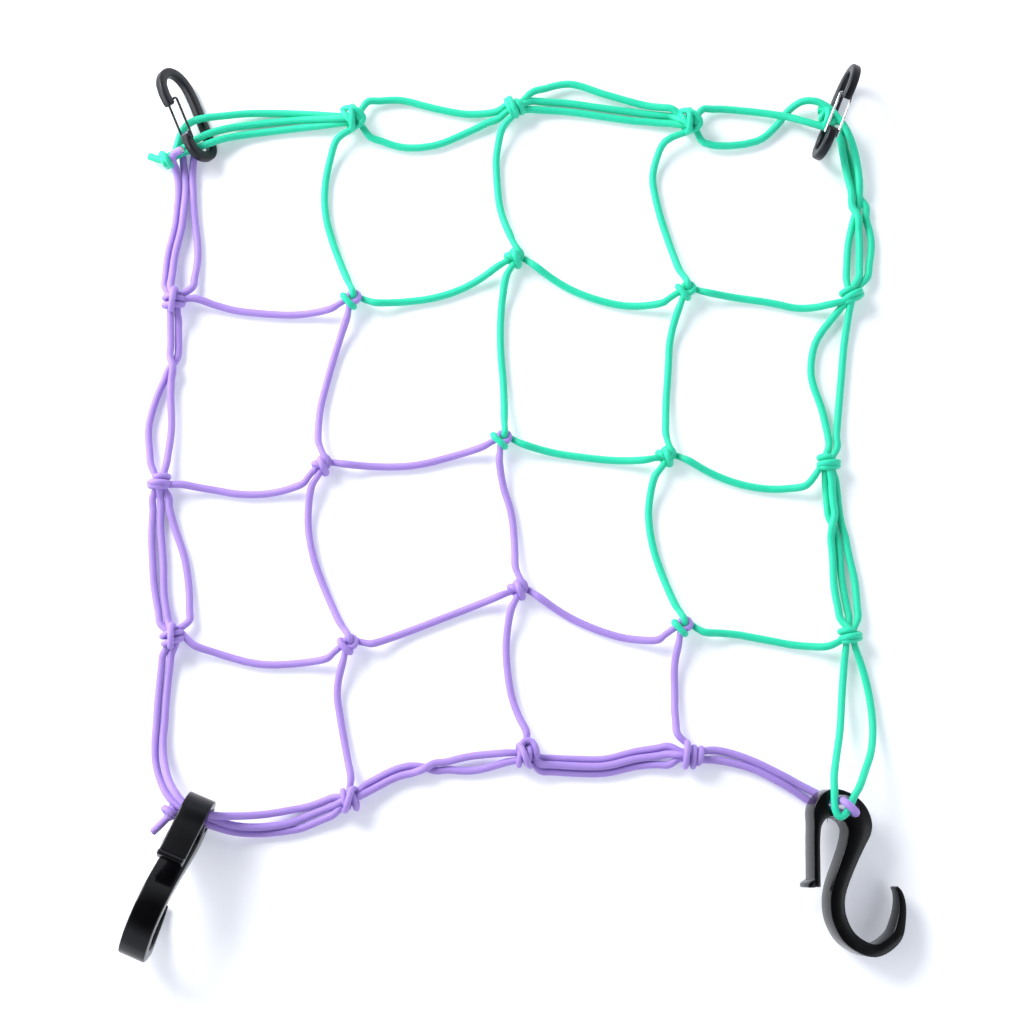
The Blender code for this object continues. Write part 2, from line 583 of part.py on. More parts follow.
def make_band(name, middle, angle, radius, turns, material, group):
    """The turns that a border knot's twine makes round its strands."""
    way = np.array([math.cos(angle), math.sin(angle), 0.0])
    side = np.array([-way[1], way[0], 0.0])
    count = int(round(turns * 7)) + 1
    points = []
    for k in range(count):
        turn = k / (count - 1) * turns
        theta = math.radians(50) + 2 * math.pi * turn
        shift = (turn - turns / 2) * BAND_PITCH
        points.append(np.array(middle) + way * shift + side * radius * math.cos(theta)
                      + np.array([0, 0, radius * math.sin(theta)]))
    return mesh_tube(name, points, [KNOT_CORD / 2] * count, CORD_SIDES, material, group)


def fuse(name, pieces, group):
    """Joins overlapping tubes into one body, the others kept as its operands."""
    body = pieces[0]
    body.name = name
    body.data.name = name
    others = make_collection(name + "_strands")
    for piece in pieces[1:]:
        group.objects.unlink(piece)
        others.objects.link(piece)
        piece.hide_render = True
        piece.display_type = "WIRE"
    join = body.modifiers.new("join", "BOOLEAN")
    join.operation = "UNION"
    join.operand_type = "COLLECTION"
    join.collection = others
    join.solver = "EXACT"
    return body


def passes(*steps):
    """A border strand's steps: (knot, slot) pairs and free routes, in order."""
    stretches = []
    for step in steps:
        if isinstance(step[0], str):
            stretches.append(("knot", slot_points(*step[:2])[::step[2] if len(step) > 2 else 1]))
        else:
            stretches.append(("free", step))
    return stretches


def back(*steps):
    """The same steps run the other way."""
    turned = []
    for step in steps[::-1]:
        if isinstance(step[0], str):
            turned.append((step[0], step[1], -1))
        else:
            turned.append(tuple(step)[::-1])
    return turned


def green_lanes():
    """The green border strands; the longest ends in both corners and is doubled at the hook."""
    t12, t23, t3 = border_span("T1", "T2"), border_span("T2", "T3"), border_span("T3", "TR", 0, 0.3)
    r1, r12, r23 = border_span("TR", "R1", 0.5, 1), border_span("R1", "R2"), border_span("R2", "R3")
    away = (GREEN_TL["top"], ("T1", "outer"), t12[0], ("T2", "outer"), t23[0], ("T3", "outer"), t3[0],
            GREEN_TR["top"], r1[0], ("R1", "spare"), r12[0], ("R2", "outer"), r23[0], ("R3", "outer"))
    home = (GREEN_TL["low"], ("T1", "inner"), t12[1], ("T2", "inner"), t23[2], ("T3", "inner"), t3[1][:1],
            GREEN_TR["low"], r1[1], ("R1", "inner"), r12[1], ("R2", "inner"), r23[1], ("R3", "inner"))
    return {
        "round": passes(*away, GREEN_BR[::-1], *back(*home)),
        "upper_left": passes(GREEN_TL["middle"], ("T1", "spare")),
        "top": passes(("T2", "spare"), t23[1], ("T3", "spare")),
        "upper_right": passes(GREEN_TR["outer"], r1[2], ("R1", "outer")),
        "lower_right": passes(("R2", "spare"), r23[2], ("R3", "spare")),
        "tail": passes(GREEN_TR["tail"]),
    }


def purple_lanes():
    """The purple border strands; the longest is doubled through the right hook's hole."""
    l1, l12, l23 = border_span("TL", "L1", 0.4, 1), border_span("L1", "L2"), border_span("L2", "L3")
    l3, b1 = border_span("L3", "BL", 0, 0.55), border_span("BL", "B1", 0.7, 1)
    b12, b23 = border_span("B1", "B2"), border_span("B2", "B3")
    away = (PURPLE_TL["curl"], l1[0], ("L1", "outer"), l12[0], ("L2", "inner"), l23[1], ("L3", "inner"),
            l3[1], PURPLE_BL["inner"], b1[0], ("B1", "inner"), b12[1], ("B2", "outer"), b23[1],
            ("B3", "outer"))
    home = (PURPLE_TL["inner"], l1[2], ("L1", "inner"), l12[1], ("L2", "outer"), l23[0], ("L3", "outer"),
            l3[0], PURPLE_BL["outer"], b1[1], ("B1", "spare"), b12[0], ("B2", "inner"), b23[0],
            ("B3", "inner"))
    return {
        "round": passes(*away, PURPLE_BR[::-1], *back(*home)),
        "upper_left": passes(PURPLE_TL["middle"], l1[1], ("L1", "spare")),
        "lower_left": passes(("L2", "spare"), l23[2], ("L3", "spare")),
        "tail": passes(PURPLE_BL["tail"], b1[2], ("B1", "outer")),
        "low": passes(("B2", "spare"), b23[2], ("B3", "spare")),
    }


def make_cord(colour, lanes, knots, balls, ties, material, group):
    """One colour's cord: border strands, twines and the turns of their knots, fused."""
    pieces = [make_lane(f"{colour}_{name}", steps, material, group) for name, steps in lanes.items()]
    for stops in TWINES[colour]:
        pieces.append(make_twine(f"{colour}_twine_{stops[0]}", stops, ties, material, group))
    for knot in knots:
        way = border_way(knot)
        middle = (*KNOTS[knot], BUNDLE_MIDDLE)
        angle = math.atan2(way[1], way[0])
        pieces.append(make_band(f"band_{knot}", middle, angle, BAND_RADIUS, BAND_TURNS, material, group))
    for ball in balls:
        middle, angle, radius, turns = BALLS[ball]
        pieces.append(make_band(ball, middle, math.radians(angle), radius, turns, material, group))
    return fuse(f"{colour}_cord", pieces, group)


# ---------------------------------------------------------------- hooks
def outline_of(sections, fine=2):
    """Both edges of a strip with the given middle line and thickness."""
    rows = smooth([(x, y, width) for x, y, width in sections], fine)
    ways = np.gradient(rows[:, :2], axis=0)
    ways /= np.linalg.norm(ways, axis=1, keepdims=True)
    left = np.stack([-ways[:, 1], ways[:, 0]], axis=1)
    one = rows[:, :2] + left * rows[:, 2:] / 2
    other = rows[:, :2] - left * rows[:, 2:] / 2
    return one, other


def make_plate(name, outline, width, material, group):
    """A flat outline given a width, half of it to each side."""
    curve = bpy.data.curves.new(name, "CURVE")
    curve.dimensions = "2D"
    curve.fill_mode = "BOTH"
    curve.extrude = width / 2 * MM
    spline = curve.splines.new("POLY")
    spline.points.add(len(outline) - 1)
    for place, (x, y) in zip(spline.points, outline):
        place.co = (x * MM, y * MM, 0, 1)
    spline.use_cyclic_u = True
    return curve_to_mesh(name, curve, material, group)


def make_hook(name, matrix, material, group, cutters):
    """A strap hook in its own plane, then placed."""
    tongue_x, _, tongue_thickness = HOOK[0]
    one, other = outline_of(((tongue_x, TONGUE_ENDS[name], tongue_thickness), *HOOK[1:]))
    out, thick = HOOK_LIP
    x, y = one[0]
    lip = [(x - out, y), (x - out, y + thick), (x, y + thick)]
    outline = [*other[::-1], *lip, *one[1:]]
    hook = make_plate(name, outline, HOOK_WIDTH, material, group)
    hole_one, hole_other = outline_of([(x, y, 2 * HOOK_HOLE_HALF) for x, y in HOOK_HOLE], 3)
    ends = []
    for place, way in ((hole_one[-1], 1), (hole_other[0], -1)):
        centre = (hole_one[-1] + hole_other[-1]) / 2 if way > 0 else (hole_one[0] + hole_other[0]) / 2
        start = math.atan2(place[1] - centre[1], place[0] - centre[0])
        ends.append([(centre[0] + HOOK_HOLE_HALF * math.cos(start - math.pi * k / 6),
                      centre[1] + HOOK_HOLE_HALF * math.sin(start - math.pi * k / 6)) for k in range(1, 6)])
    hole = make_plate(name + "_hole", [*hole_one, *ends[0], *hole_other[::-1], *ends[1]],
                      HOOK_WIDTH + 4, material, cutters)
    hole.hide_render = True
    hole.display_type = "WIRE"
    cut = hook.modifiers.new("hole", "BOOLEAN")
    cut.operation = "DIFFERENCE"
    cut.object = hole
    cut.solver = "EXACT"
    for obj in (hook, hole):
        obj.data.transform(matrix)
    lowest = min(vertex.co.z for vertex in hook.data.vertices)
    for obj in (hook, hole):
        obj.data.transform(Matrix.Translation((0, 0, -lowest)))
    return hook


def frame_matrix(x_axis, y_axis, z_axis, origin):
    return Matrix((
        (x_axis[0], y_axis[0], z_axis[0], origin[0] * MM),
        (x_axis[1], y_axis[1], z_axis[1], origin[1] * MM),
        (x_axis[2], y_axis[2], z_axis[2], origin[2] * MM),
        (0, 0, 0, 1)))


def right_hook_matrix():
    """Flat on its side, rolled a little so that the cords pass under its hole."""
    c, s = math.cos(HOOK_ROLL), math.sin(HOOK_ROLL)
    half = HOOK_WIDTH / 2
    return frame_matrix((c, 0, -s), (0, 1, 0), (s, 0, c), (RIGHT_HOOK_AT[0] + half * s, RIGHT_HOOK_AT[1], 0))


def left_hook_matrix():
    """Standing on the strap's edge, its free tongue uppermost."""
    heading = Vector((math.cos(LEFT_HOOK_HEADING), math.sin(LEFT_HOOK_HEADING), 0))
    up = Vector((0, 0, 1))
    c, s = math.cos(LEFT_HOOK_PITCH), math.sin(LEFT_HOOK_PITCH)
    x_axis = heading * s - up * c
    y_axis = -heading * c - up * s
    return frame_matrix(x_axis, y_axis, x_axis.cross(y_axis), (*LEFT_HOOK_AT, 0))


# ---------------------------------------------------------------- clips
def clip_axes(side):
    """World axes of a clip: along, across from its back to its gate, and through it."""
    (x, y), heading, lean = CLIPS[side]
    along = Vector((math.cos(heading), math.sin(heading), 0))
    left = Vector((-along.y, along.x, 0))
    across = left * math.sin(lean) + Vector((0, 0, 1)) * math.cos(lean)
    origin = Vector((x, y, CLIP_BAR / 2)) - across * (CLIP_BAR / 2)
    return origin, along, across, along.cross(across)


def make_clip(side, frame_material, gate_material, group):
    origin, along, across, through = clip_axes(side)

    def place(s, c, n=0.0):
        return origin + along * s + across * c + through * n

    bar = [place(s, c) for s, c, _ in smooth([(s, c, 0) for s, c in CLIP], 2)]
    mesh_tube(f"{side}_clip_frame", bar, [CLIP_BAR / 2] * len(bar), 8, frame_material, group)
    (pin_s, pin_c), (tip_s, tip_c) = GATE_PIN, GATE_TIP
    pin = place(pin_s, pin_c)
    middle = ((pin_s + tip_s) / 2, (pin_c + tip_c) / 2)
    # one leg, from behind the pin to the cross wire: along, across and out of the middle plane
    leg = [(pin_s - 1.5, pin_c, GATE_HALF), (pin_s, pin_c, GATE_HALF), (*middle, GATE_HALF),
           (tip_s - GATE_BEND, tip_c, GATE_HALF),
           (tip_s - 0.3 * GATE_BEND, tip_c, GATE_HALF - 0.3 * GATE_BEND),
           (tip_s, tip_c, GATE_HALF - GATE_BEND)]
    wire = [place(*point) - pin for point in leg]
    wire += [place(s, c, -n) - pin for s, c, n in leg[::-1]]
    gate = mesh_tube(f"{side}_clip_gate", wire, [GATE_WIRE / 2] * len(wire), CORD_SIDES, gate_material, group)
    gate.location = pin * MM


# ---------------------------------------------------------------- the whole net
def centre_net():
    """Hangs everything from an empty that brings the net's middle to the origin."""
    middle = bpy.data.objects.new("net_middle", None)
    bpy.context.scene.collection.objects.link(middle)
    middle.location = (-MIDDLE[0] * MM, -MIDDLE[1] * MM, 0)
    for obj in bpy.data.objects:
        if obj is not middle:
            obj.parent = middle


def main():
    clear_scene()
    net = make_collection("luggage_net")
    cutters = make_collection("cutters")
    green = make_material("green_cord", GREEN, 0.6)
    purple = make_material("purple_cord", PURPLE, 0.6)
    plastic = make_material("black_plastic", BLACK, 0.3)
    paint = make_material("black_paint", BLACK, 0.45)
    steel = make_material("steel_wire", SILVER, 0.25, 1.0)

    inner = [name for name in KNOTS if name[0] == "N"]
    ties = {knot: tie_sheet_bend(knot) for knot in inner}
    make_cord("green", green_lanes(), ("T1", "T2", "T3", "R1", "R2", "R3"), ("green_tl", "green_tr"),
              ties, green, net)
    make_cord("purple", purple_lanes(), ("L1", "L2", "L3", "B1", "B2", "B3"), ("purple_bl",),
              ties, purple, net)
    make_hook("left_hook", left_hook_matrix(), plastic, net, cutters)
    make_hook("right_hook", right_hook_matrix(), plastic, net, cutters)
    make_clip("left", paint, paint, net)
    make_clip("right", paint, steel, net)
    centre_net()


main()
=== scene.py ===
# %% [markdown]
# # An elastic luggage net
# Two shock cords, one mint green and one lavender, are knotted into a net of four by four
# meshes. Two wire-gate clips hold its upper corners and two plastic hooks its lower ones.
# The CAD model gives the places. This lesson gives each piece its true surface: round braided
# cord, moulded hooks with soft edges, and coated and bright metal.

import math
from functools import partial

import bpy
import numpy as np
from mathutils import Matrix, Vector


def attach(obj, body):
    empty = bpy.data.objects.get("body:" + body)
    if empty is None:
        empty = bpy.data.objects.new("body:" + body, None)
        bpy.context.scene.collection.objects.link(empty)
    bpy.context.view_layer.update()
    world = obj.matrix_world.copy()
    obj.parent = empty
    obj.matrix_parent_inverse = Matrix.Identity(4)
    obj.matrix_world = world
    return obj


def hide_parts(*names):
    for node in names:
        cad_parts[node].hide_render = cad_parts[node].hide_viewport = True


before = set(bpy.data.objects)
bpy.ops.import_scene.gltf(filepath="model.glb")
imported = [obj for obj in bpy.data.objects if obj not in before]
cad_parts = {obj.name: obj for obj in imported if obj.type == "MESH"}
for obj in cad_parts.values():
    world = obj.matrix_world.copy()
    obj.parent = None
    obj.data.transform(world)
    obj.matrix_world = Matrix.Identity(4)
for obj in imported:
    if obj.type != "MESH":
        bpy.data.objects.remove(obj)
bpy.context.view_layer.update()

# %% [markdown]
# ## Named sizes
# Cord is sold by its diameter, and most other sizes here follow from it. The tables are in
# millimetres, as a maker would measure the net, and `metres` turns them into scene units and
# moves the net's middle to the origin.

# %% Named sizes
MM = 0.001
CORD = 4.0                   # the slack cord's diameter
KNOT_CORD = 2.75             # the cord drawn tight in a knot
TIGHT = KNOT_CORD + 0.6      # between the middles of touching turns
CORD_SHOWN = 2.12            # radius of the free cord, its sheath a little fuller than the solid
KNOT_SHOWN = 1.85            # radius in a knot, where the turns press into each other
LIE = CORD / 2 + 0.1         # height of a lying strand's middle
SLOT = 1.75                  # half the spacing of the border strands inside a knot
MIDDLE = (1.9, 4.1)          # of the whole net, in the tables' coordinates
BUNDLE_LOW = SLOT / math.sqrt(3) + KNOT_CORD * 1.5 - 0.5     # middle of a bundle's lowest strands
KNOT_LOW = -1.40 * TIGHT     # how far an inner knot's turns reach below its middle
KNOT_HIGH = 1.25 * TIGHT     # and above it
KNOT_RISE = -KNOT_LOW + KNOT_CORD / 2
TAIL = 3.5 * TIGHT           # from a knot's middle to where its strands are free
DOUBLES = 1e-6               # points nearer than this, in metres, are one point
CORD_SHARP = 50              # edges sharper than this many degrees stay sharp on cord and wire
MOULD_SHARP = 40             # and on moulded pieces
BEVEL_FROM = 35              # edges sharper than this are rounded where a piece is

# %% Helpers that every piece uses


def metres(points):
    """Table places in millimetres as scene places in metres."""
    return (np.asarray(points, float) - (*MIDDLE, 0)) * MM


def set_inputs(node, values):
    """Sets a node's sockets by their names."""
    for label, value in values.items():
        node.inputs[label].default_value = value


def pick(*pieces):
    """Selects these pieces alone and makes the first one active."""
    bpy.ops.object.select_all(action="DESELECT")
    for piece in pieces:
        piece.select_set(True)
    bpy.context.view_layer.objects.active = pieces[0]


def turn_outward(piece, merge):
    """Merges doubles where asked and makes every face look outward."""
    pick(piece)
    bpy.ops.object.mode_set(mode="EDIT")
    bpy.ops.mesh.select_all(action="SELECT")
    if merge:
        bpy.ops.mesh.remove_doubles(threshold=DOUBLES)
    bpy.ops.mesh.normals_make_consistent(inside=False)
    bpy.ops.object.mode_set(mode="OBJECT")


def shade(piece, sharp):
    """Shades a piece smooth except at edges sharper than this many degrees."""
    pick(piece)
    bpy.ops.object.shade_smooth_by_angle(angle=math.radians(sharp))


def dress(piece, material):
    """Gives a piece this one material."""
    piece.data.materials.clear()
    piece.data.materials.append(material)


def add_tube(name, places, radii, unit, level):
    """A round tube through places in metres, its radii in the given unit, as a mesh."""
    line = bpy.data.curves.new(name, "CURVE")
    line.dimensions = "3D"
    line.bevel_depth = unit
    line.bevel_resolution = level
    line.use_fill_caps = True
    spline = line.splines.new("POLY")
    spline.points.add(len(places) - 1)
    for point, place, radius in zip(spline.points, places, radii):
        point.co = (*place, 1)
        point.radius = radius
    tube = bpy.data.objects.new(name, line)
    bpy.context.scene.collection.objects.link(tube)
    pick(tube)
    bpy.ops.object.convert(target="MESH")
    return tube


# %% [markdown]
# ## Floor, light and camera
# A white sweep and a large soft light from the upper left give the even light of a product
# table: bright, with a pale shadow to the lower right of each cord. The camera looks down
# from 1.3 m through a long lens, so the net hardly tapers.

# %% Floor
FLOOR_SIZE = 6               # metres
FLOOR_BELOW = 0.0006         # the floor lies this far under the net
bpy.ops.mesh.primitive_plane_add(size=FLOOR_SIZE, location=(0, 0, -FLOOR_BELOW))
floor = bpy.context.object
floor.name = "floor"
floor_paper = bpy.data.materials.new("floor_paper")
floor_paper.use_nodes = True
paper = floor_paper.node_tree.nodes["Principled BSDF"]
set_inputs(paper, {
    "Base Color": (0.93, 0.93, 0.94, 1), "Roughness": 0.9, "Specular IOR Level": 0.1,
    "Emission Color": (0.80, 0.84, 1.0, 1), "Emission Strength": 0.2})     # a backlit sweep has pale shadows
floor.data.materials.append(floor_paper)

# %% Lights


def add_softbox(name, place, wide, high, power, tint):
    """A light panel that faces the net."""
    light = bpy.data.lights.new(name, "AREA")
    light.shape = "RECTANGLE"
    light.size = wide
    light.size_y = high
    light.energy = power
    light.color = tint
    holder = bpy.data.objects.new(name, light)
    bpy.context.scene.collection.objects.link(holder)
    holder.location = place
    holder.rotation_euler = (-Vector(place)).to_track_quat("-Z", "Y").to_euler()


# name, place and size in metres, watts, tint
add_softbox("key_softbox", (-1.25, 1.15, 1.15), 1.0, 1.0, 50, (1.0, 0.99, 0.98))
add_softbox("edge_strip", (-1.6, 0.15, 0.5), 1.7, 0.3, 14, (0.97, 0.98, 1.0))
add_softbox("fill_softbox", (1.5, -0.9, 1.0), 1.4, 1.4, 10, (0.92, 0.95, 1.0))

# %% A sky that is bright at the sides and dim above, as in a tent with a dark lens hole
sky = bpy.data.worlds.new("studio")
bpy.context.scene.world = sky
sky.use_nodes = True
sky_nodes, sky_links = sky.node_tree.nodes, sky.node_tree.links
look = sky_nodes.new("ShaderNodeTexCoord")
split = sky_nodes.new("ShaderNodeSeparateXYZ")
ramp = sky_nodes.new("ShaderNodeMapRange")
set_inputs(ramp, {"From Min": 0.55, "From Max": 0.92, "To Min": 1.0, "To Max": 0.06})
sky_links.new(look.outputs["Generated"], split.inputs[0])
sky_links.new(split.outputs["Z"], ramp.inputs["Value"])
set_inputs(sky_nodes["Background"], {"Color": (0.88, 0.92, 1.0, 1)})
sky_links.new(ramp.outputs["Result"], sky_nodes["Background"].inputs["Strength"])
bpy.context.scene.view_settings.view_transform = "Standard"

# %% Camera
VIEW_FROM = (-0.0019, -0.1850, 1.2874)
VIEW_AT = (-0.0019, -0.0041, 0.0)
FOCAL_PIXELS = 2321
SENSOR = 36.0                # millimetres
FRAME_PIXELS = 1024
camera = bpy.data.cameras.new("camera")
camera.sensor_width = SENSOR
camera.lens = FOCAL_PIXELS * SENSOR / FRAME_PIXELS
camera_holder = bpy.data.objects.new("camera", camera)
bpy.context.scene.collection.objects.link(camera_holder)
camera_holder.location = VIEW_FROM
line_of_sight = Vector(VIEW_AT) - Vector(VIEW_FROM)
camera_holder.rotation_euler = line_of_sight.to_track_quat("-Z", "Y").to_euler()
bpy.context.scene.camera = camera_holder
print("lens", round(camera.lens, 1), "mm")

# %% [markdown]
# ## Where the cord goes
# The net is a drawing first: named knots, and for each strand how far it bows to the left of
# the straight line between its knots. Tables like these are easy to read and to change, and
# every strand is made from them in the same way.

# %% Tables of knots and strands
KNOTS = {
    "T1": (-91, 226), "T2": (1, 233), "T3": (101, 224),
    "R1": (192, 123), "R2": (177, 27), "R3": (187, -70),
    "B1": (-89, -160), "B2": (7, -136), "B3": (95, -136),
    "L1": (-191, 119), "L2": (-197, 16), "L3": (-188, -71),
    "N11": (-90, 121), "N21": (2, 146), "N31": (99, 126),
    "N12": (-106, 27), "N22": (-5, 41), "N32": (87, 32),
    "N13": (-90, -74), "N23": (4, -43), "N33": (95, -64),
    "TL": (-189, 210), "TR": (186, 226), "BL": (-183, -163), "BR": (179, -163),
}
# inner knots whose wrap shows from below instead of from above
TURNED = {"N21", "N32", "N12", "N23"}

# A strand's bow is how far it lies to the left of the straight line between its two knots, at
# a tenth, three, five, seven and nine tenths of the way.
BOW_AT = (0.1, 0.3, 0.5, 0.7, 0.9)

# Each twine runs from one border knot through inner knots to another: its bows between them.
TWINES = {
    "green": {
        "T1 N11 N21 N22 N32 N33 R3": (
            (-8, -15, -16, -11, -3), (-5, -9, -11, -9, -3), (-4, -6, -5, -2, 0),
            (-2, -5, -6, -6, -4), (-7, -13, -13, -9, -3), (-3, -3, -5, -7, -6)),
        "T2 N21 N31 N32 R2": (
            (-5, -10, -10, -8, -2), (-3, -11, -15, -15, -9), (-3, -6, -5, -4, -2),
            (-2, -10, -15, -16, -12)),
        "T3 N31 R1": (
            (-12, -20, -17, -11, -4), (-1, -3, -5, -8, -5)),
    },
    "purple": {
        "L1 N11 N12 N22 N23 N33 B3": (
            (2, -4, -7, -8, -5), (-1, -4, -6, -7, -4), (-2, -6, -8, -6, -3), (-3, -3, 0, 0, -1),
            (-2, -9, -13, -14, -10), (-2, -5, -5, -5, -3)),
        "L2 N12 N13 N23 B2": (
            (-2, -7, -12, -13, -9), (-7, -13, -13, -9, -3), (-4, -4, -3, -2, -1),
            (-4, -8, -8, -5, 2)),
        "L3 N13 B1": (
            (-3, -9, -13, -12, -8), (-3, -7, -5, -2, 1)),
    },
}
INNER = {}                   # the bows by (first knot, second knot)
for twines in TWINES.values():
    for path, rows in twines.items():
        INNER.update(zip(zip(path.split(), path.split()[1:]), rows))

# Border strands between two knots: each strand's level, then its bows; a higher level crosses over.
BORDER = {
    ("T1", "T2"): ((0, 10, 10, 4, -1, -2), (0, -11, -18, -18, -12, -5)),
    ("T2", "T3"): ((1, 10, 17, 13, 9, 6), (0, 5, 6, 5, 4, 3), (0, 0, 1, 0, -1, 0)),
    ("T3", "TR"): ((0, 8, 8, 5, 0, -3), (0, -12, -17, -8, 7, 11)),
    ("TR", "R1"): ((1, 3, 5, 6, 7, 5), (0, 6, 8, 8, 1, -2), (0, 8, 9, 11, 14, 10)),
    ("R1", "R2"): ((0, 0, 0, 1, 2, 3), (0, -6, -16, -16, -7, 0)),
    ("R2", "R3"): ((0, 2, 3, 5, 7, 6), (0, -2, -2, 0, 0, 1), (1, 1, -1, -3, -5, -4)),
    ("TL", "L1"): ((0, -3, 0, -1, -5, -5), (1, 1, 2, 2, -1, -3), (0, 5, 7, 10, 12, 10)),
    ("L1", "L2"): ((1, -1, 1, 2, 4, 3), (0, 3, 3, -5, -9, -6)),
    ("L2", "L3"): ((0, -3, -7, -8, -8, -5), (0, 3, 6, 10, 11, 10), (0, -1, -2, -2, -3, -3)),
    ("L3", "BL"): ((0, -5, -8, -10, -11, -6), (0, -2, -5, -7, -8, -2)),
    ("BL", "B1"): ((0, -5, -7, -7, -4, 0), (0, -9, -12, -14, -10, -2), (0, -10, -14, -18, -15, -8)),
    ("B1", "B2"): ((1, 2, 6, 7, 7, 4), (0, 5, 10, 5, -1, -1)),
    ("B2", "B3"): ((0, -2, -3, -3, 2, 5), (0, -8, -9, -9, -5, -5), (1, -4, -5, -5, -2, 1)),
}
STATIONS = np.linspace(0.1, 0.9, 13)     # where border strands are placed between two knots
LEVEL_RISE = 1.5
OUTER_SIDE = {"T": 1, "R": 1, "L": -1, "B": -1}   # the border's outer side lies to the left or right

# Routes round the corners, one (x, y, z) a point.
GREEN_TL = {
    "top": ((-207, 204.6, 3.2), (-202.2, 202.6, 4.8), (-197, 201.6, 6.4), (-192.6, 204.6, 7),
            (-190.6, 210.4, 7.2), (-188.7, 216.6, 7.2), (-185.6, 221.3, 7.6), (-181, 224, 8.4),
            (-175.4, 225.6, 8.2), (-164.8, 227.6, 6), (-148.7, 229.9, 3.4), (-120, 229.8, 2.4)),
    "middle": ((-197.5, 202.6, 7), (-192.4, 204.8, 7.8), (-186.6, 208, 8.4), (-181.6, 211.6, 8.6),
               (-174.6, 215.6, 8.4), (-166.7, 218.9, 6.6), (-156.6, 221.9, 3.8), (-124, 226, 2.6)),
    "low": ((-192.6, 203.4, 5.4), (-188.6, 205.2, 6.6), (-184.2, 206.6, 7.6), (-178.8, 208.2, 8.4),
            (-171.8, 210.8, 8.6), (-164.6, 214.1, 6), (-154.6, 217, 3), (-122, 221.4, 2.4)),
}
PURPLE_TL = {
    "curl": ((-186.8, 205, 15.4), (-188.6, 204.6, 14.2), (-191.8, 203.2, 12.4), (-192.8, 200.2, 8.6),
             (-191.4, 196, 4), (-190.2, 186, 2.4)),
    "middle": ((-187.2, 215, 3), (-188.2, 209, 2.5), (-187.6, 200, 2.4), (-186, 188, 2.4)),
    "inner": ((-181.4, 205.6, 2.6), (-182.2, 198, 2.4), (-182, 187, 2.4)),
}
GREEN_TR = {
    "top": ((154.4, 228, 5), (167.3, 223.8, 7.6), (176.5, 220.6, 8.8), (182.6, 218.6, 9.2),
            (186.6, 213.6, 8.8), (188.4, 205, 7), (190.6, 194, 5.4), (193, 183, 5.4)),
    "low": ((140.1, 213.8, 2.4), (151.2, 222.6, 2.6), (157.6, 230.6, 4.4), (165.5, 235.6, 7.4),
            (173.3, 235.4, 8.6), (180.6, 231.2, 9.2), (186, 225, 9.4), (190.6, 217.6, 9.8),
            (194, 208.8, 9.2), (196.4, 198.6, 7.4), (197.6, 187, 6.6)),
    "outer": ((186.2, 219.4, 8.6), (189.8, 211, 4.8), (193, 201, 2.4), (195.8, 190.5, 2.2),
              (198.4, 180, 2.2)),
    "tail": ((186.4, 222.6, 8.6), (183, 227.6, 8), (178.8, 230.4, 7.6), (174.6, 230.4, 6.8)),
}
PURPLE_BL = {
    "inner": ((-192.4, -128, 3), (-191, -139.4, 6), (-187.6, -149.4, 11), (-182.4, -157.6, 15.8),
              (-176.8, -163.2, 17.8), (-170.5, -166.2, 18), (-162.6, -168.6, 16.6), (-151, -169, 11.4),
              (-135, -168, 6), (-120, -165.4, 3)),
    "outer": ((-196.8, -128, 2.6), (-196.2, -139, 3.2), (-193, -149.6, 5.6), (-187.6, -158.6, 9.6),
              (-180.4, -164.4, 11.9), (-170.9, -167.4, 12.4), (-162.4, -170.8, 11.6), (-151, -174.2, 8.4),
              (-136, -174.8, 5.4), (-121, -172.6, 3.4)),
    "tail": ((-196.6, -177.6, 5.4), (-192.4, -173.8, 6.8), (-187.6, -169.6, 8.2), (-180.6, -168.4, 8.7),
             (-172.6, -171.4, 9.2), (-165, -173.8, 9.4), (-152, -177.6, 4.4), (-137, -178.4, 2.4),
             (-122, -176.8, 2.4)),
}
GREEN_BR = ((183.6, -88, 3.4), (182, -104, 4.6), (180, -122, 9.6), (176.4, -138, 18),
            (174.3, -148, 24), (174.1, -154.4, 25.8), (174.1, -161.4, 25.8), (174.5, -165.9, 25.7),
            (176.6, -169.5, 25.3), (179.9, -168, 24.8), (182.6, -163.3, 24.4), (184.9, -158.6, 23.9),
            (188, -153.6, 22.6), (192, -145, 17.4), (197, -133, 9.5), (198.8, -119, 4.4),
            (197.6, -104, 2.6), (194.6, -90, 2.8))
PURPLE_BR = ((112, -132.9, 2.6), (129.8, -137.7, 2.6), (149.3, -147, 2.6), (157.7, -151.7, 2.8),
             (166, -156, 3.8), (173.5, -160.2, 5.6), (177.4, -161, 9.4), (178.3, -160.8, 15),
             (178.3, -160.8, 21), (178.4, -160.8, 25.2), (179, -161.2, 27.4), (181.4, -163.4, 29.2),
             (184.8, -166.6, 27.8), (185.7, -167.6, 23.4), (185, -167.4, 17), (183.6, -167.2, 9.4),
             (181, -167, 4.4), (175, -165.4, 2.5), (168.5, -163.2, 2.4), (163.6, -160.9, 2.4),
             (154.2, -154.6, 2.4), (144.8, -149.1, 2.4), (131, -142.6, 2.4), (112, -138.4, 2.6))
# stopper knots at the corners: (x, y, z), plan angle of the axis, turn radius, stretch along it
BALLS = {
    "green_tl": ((-196, 200.8, 6.4), 15, 2.7, 1),
    "green_tr": ((179.2, 224.2, 8), -45, 2.6, 1.8),
    "purple_bl": ((-185.6, -166.8, 8.5), 40, 2.6, 0.9),
}
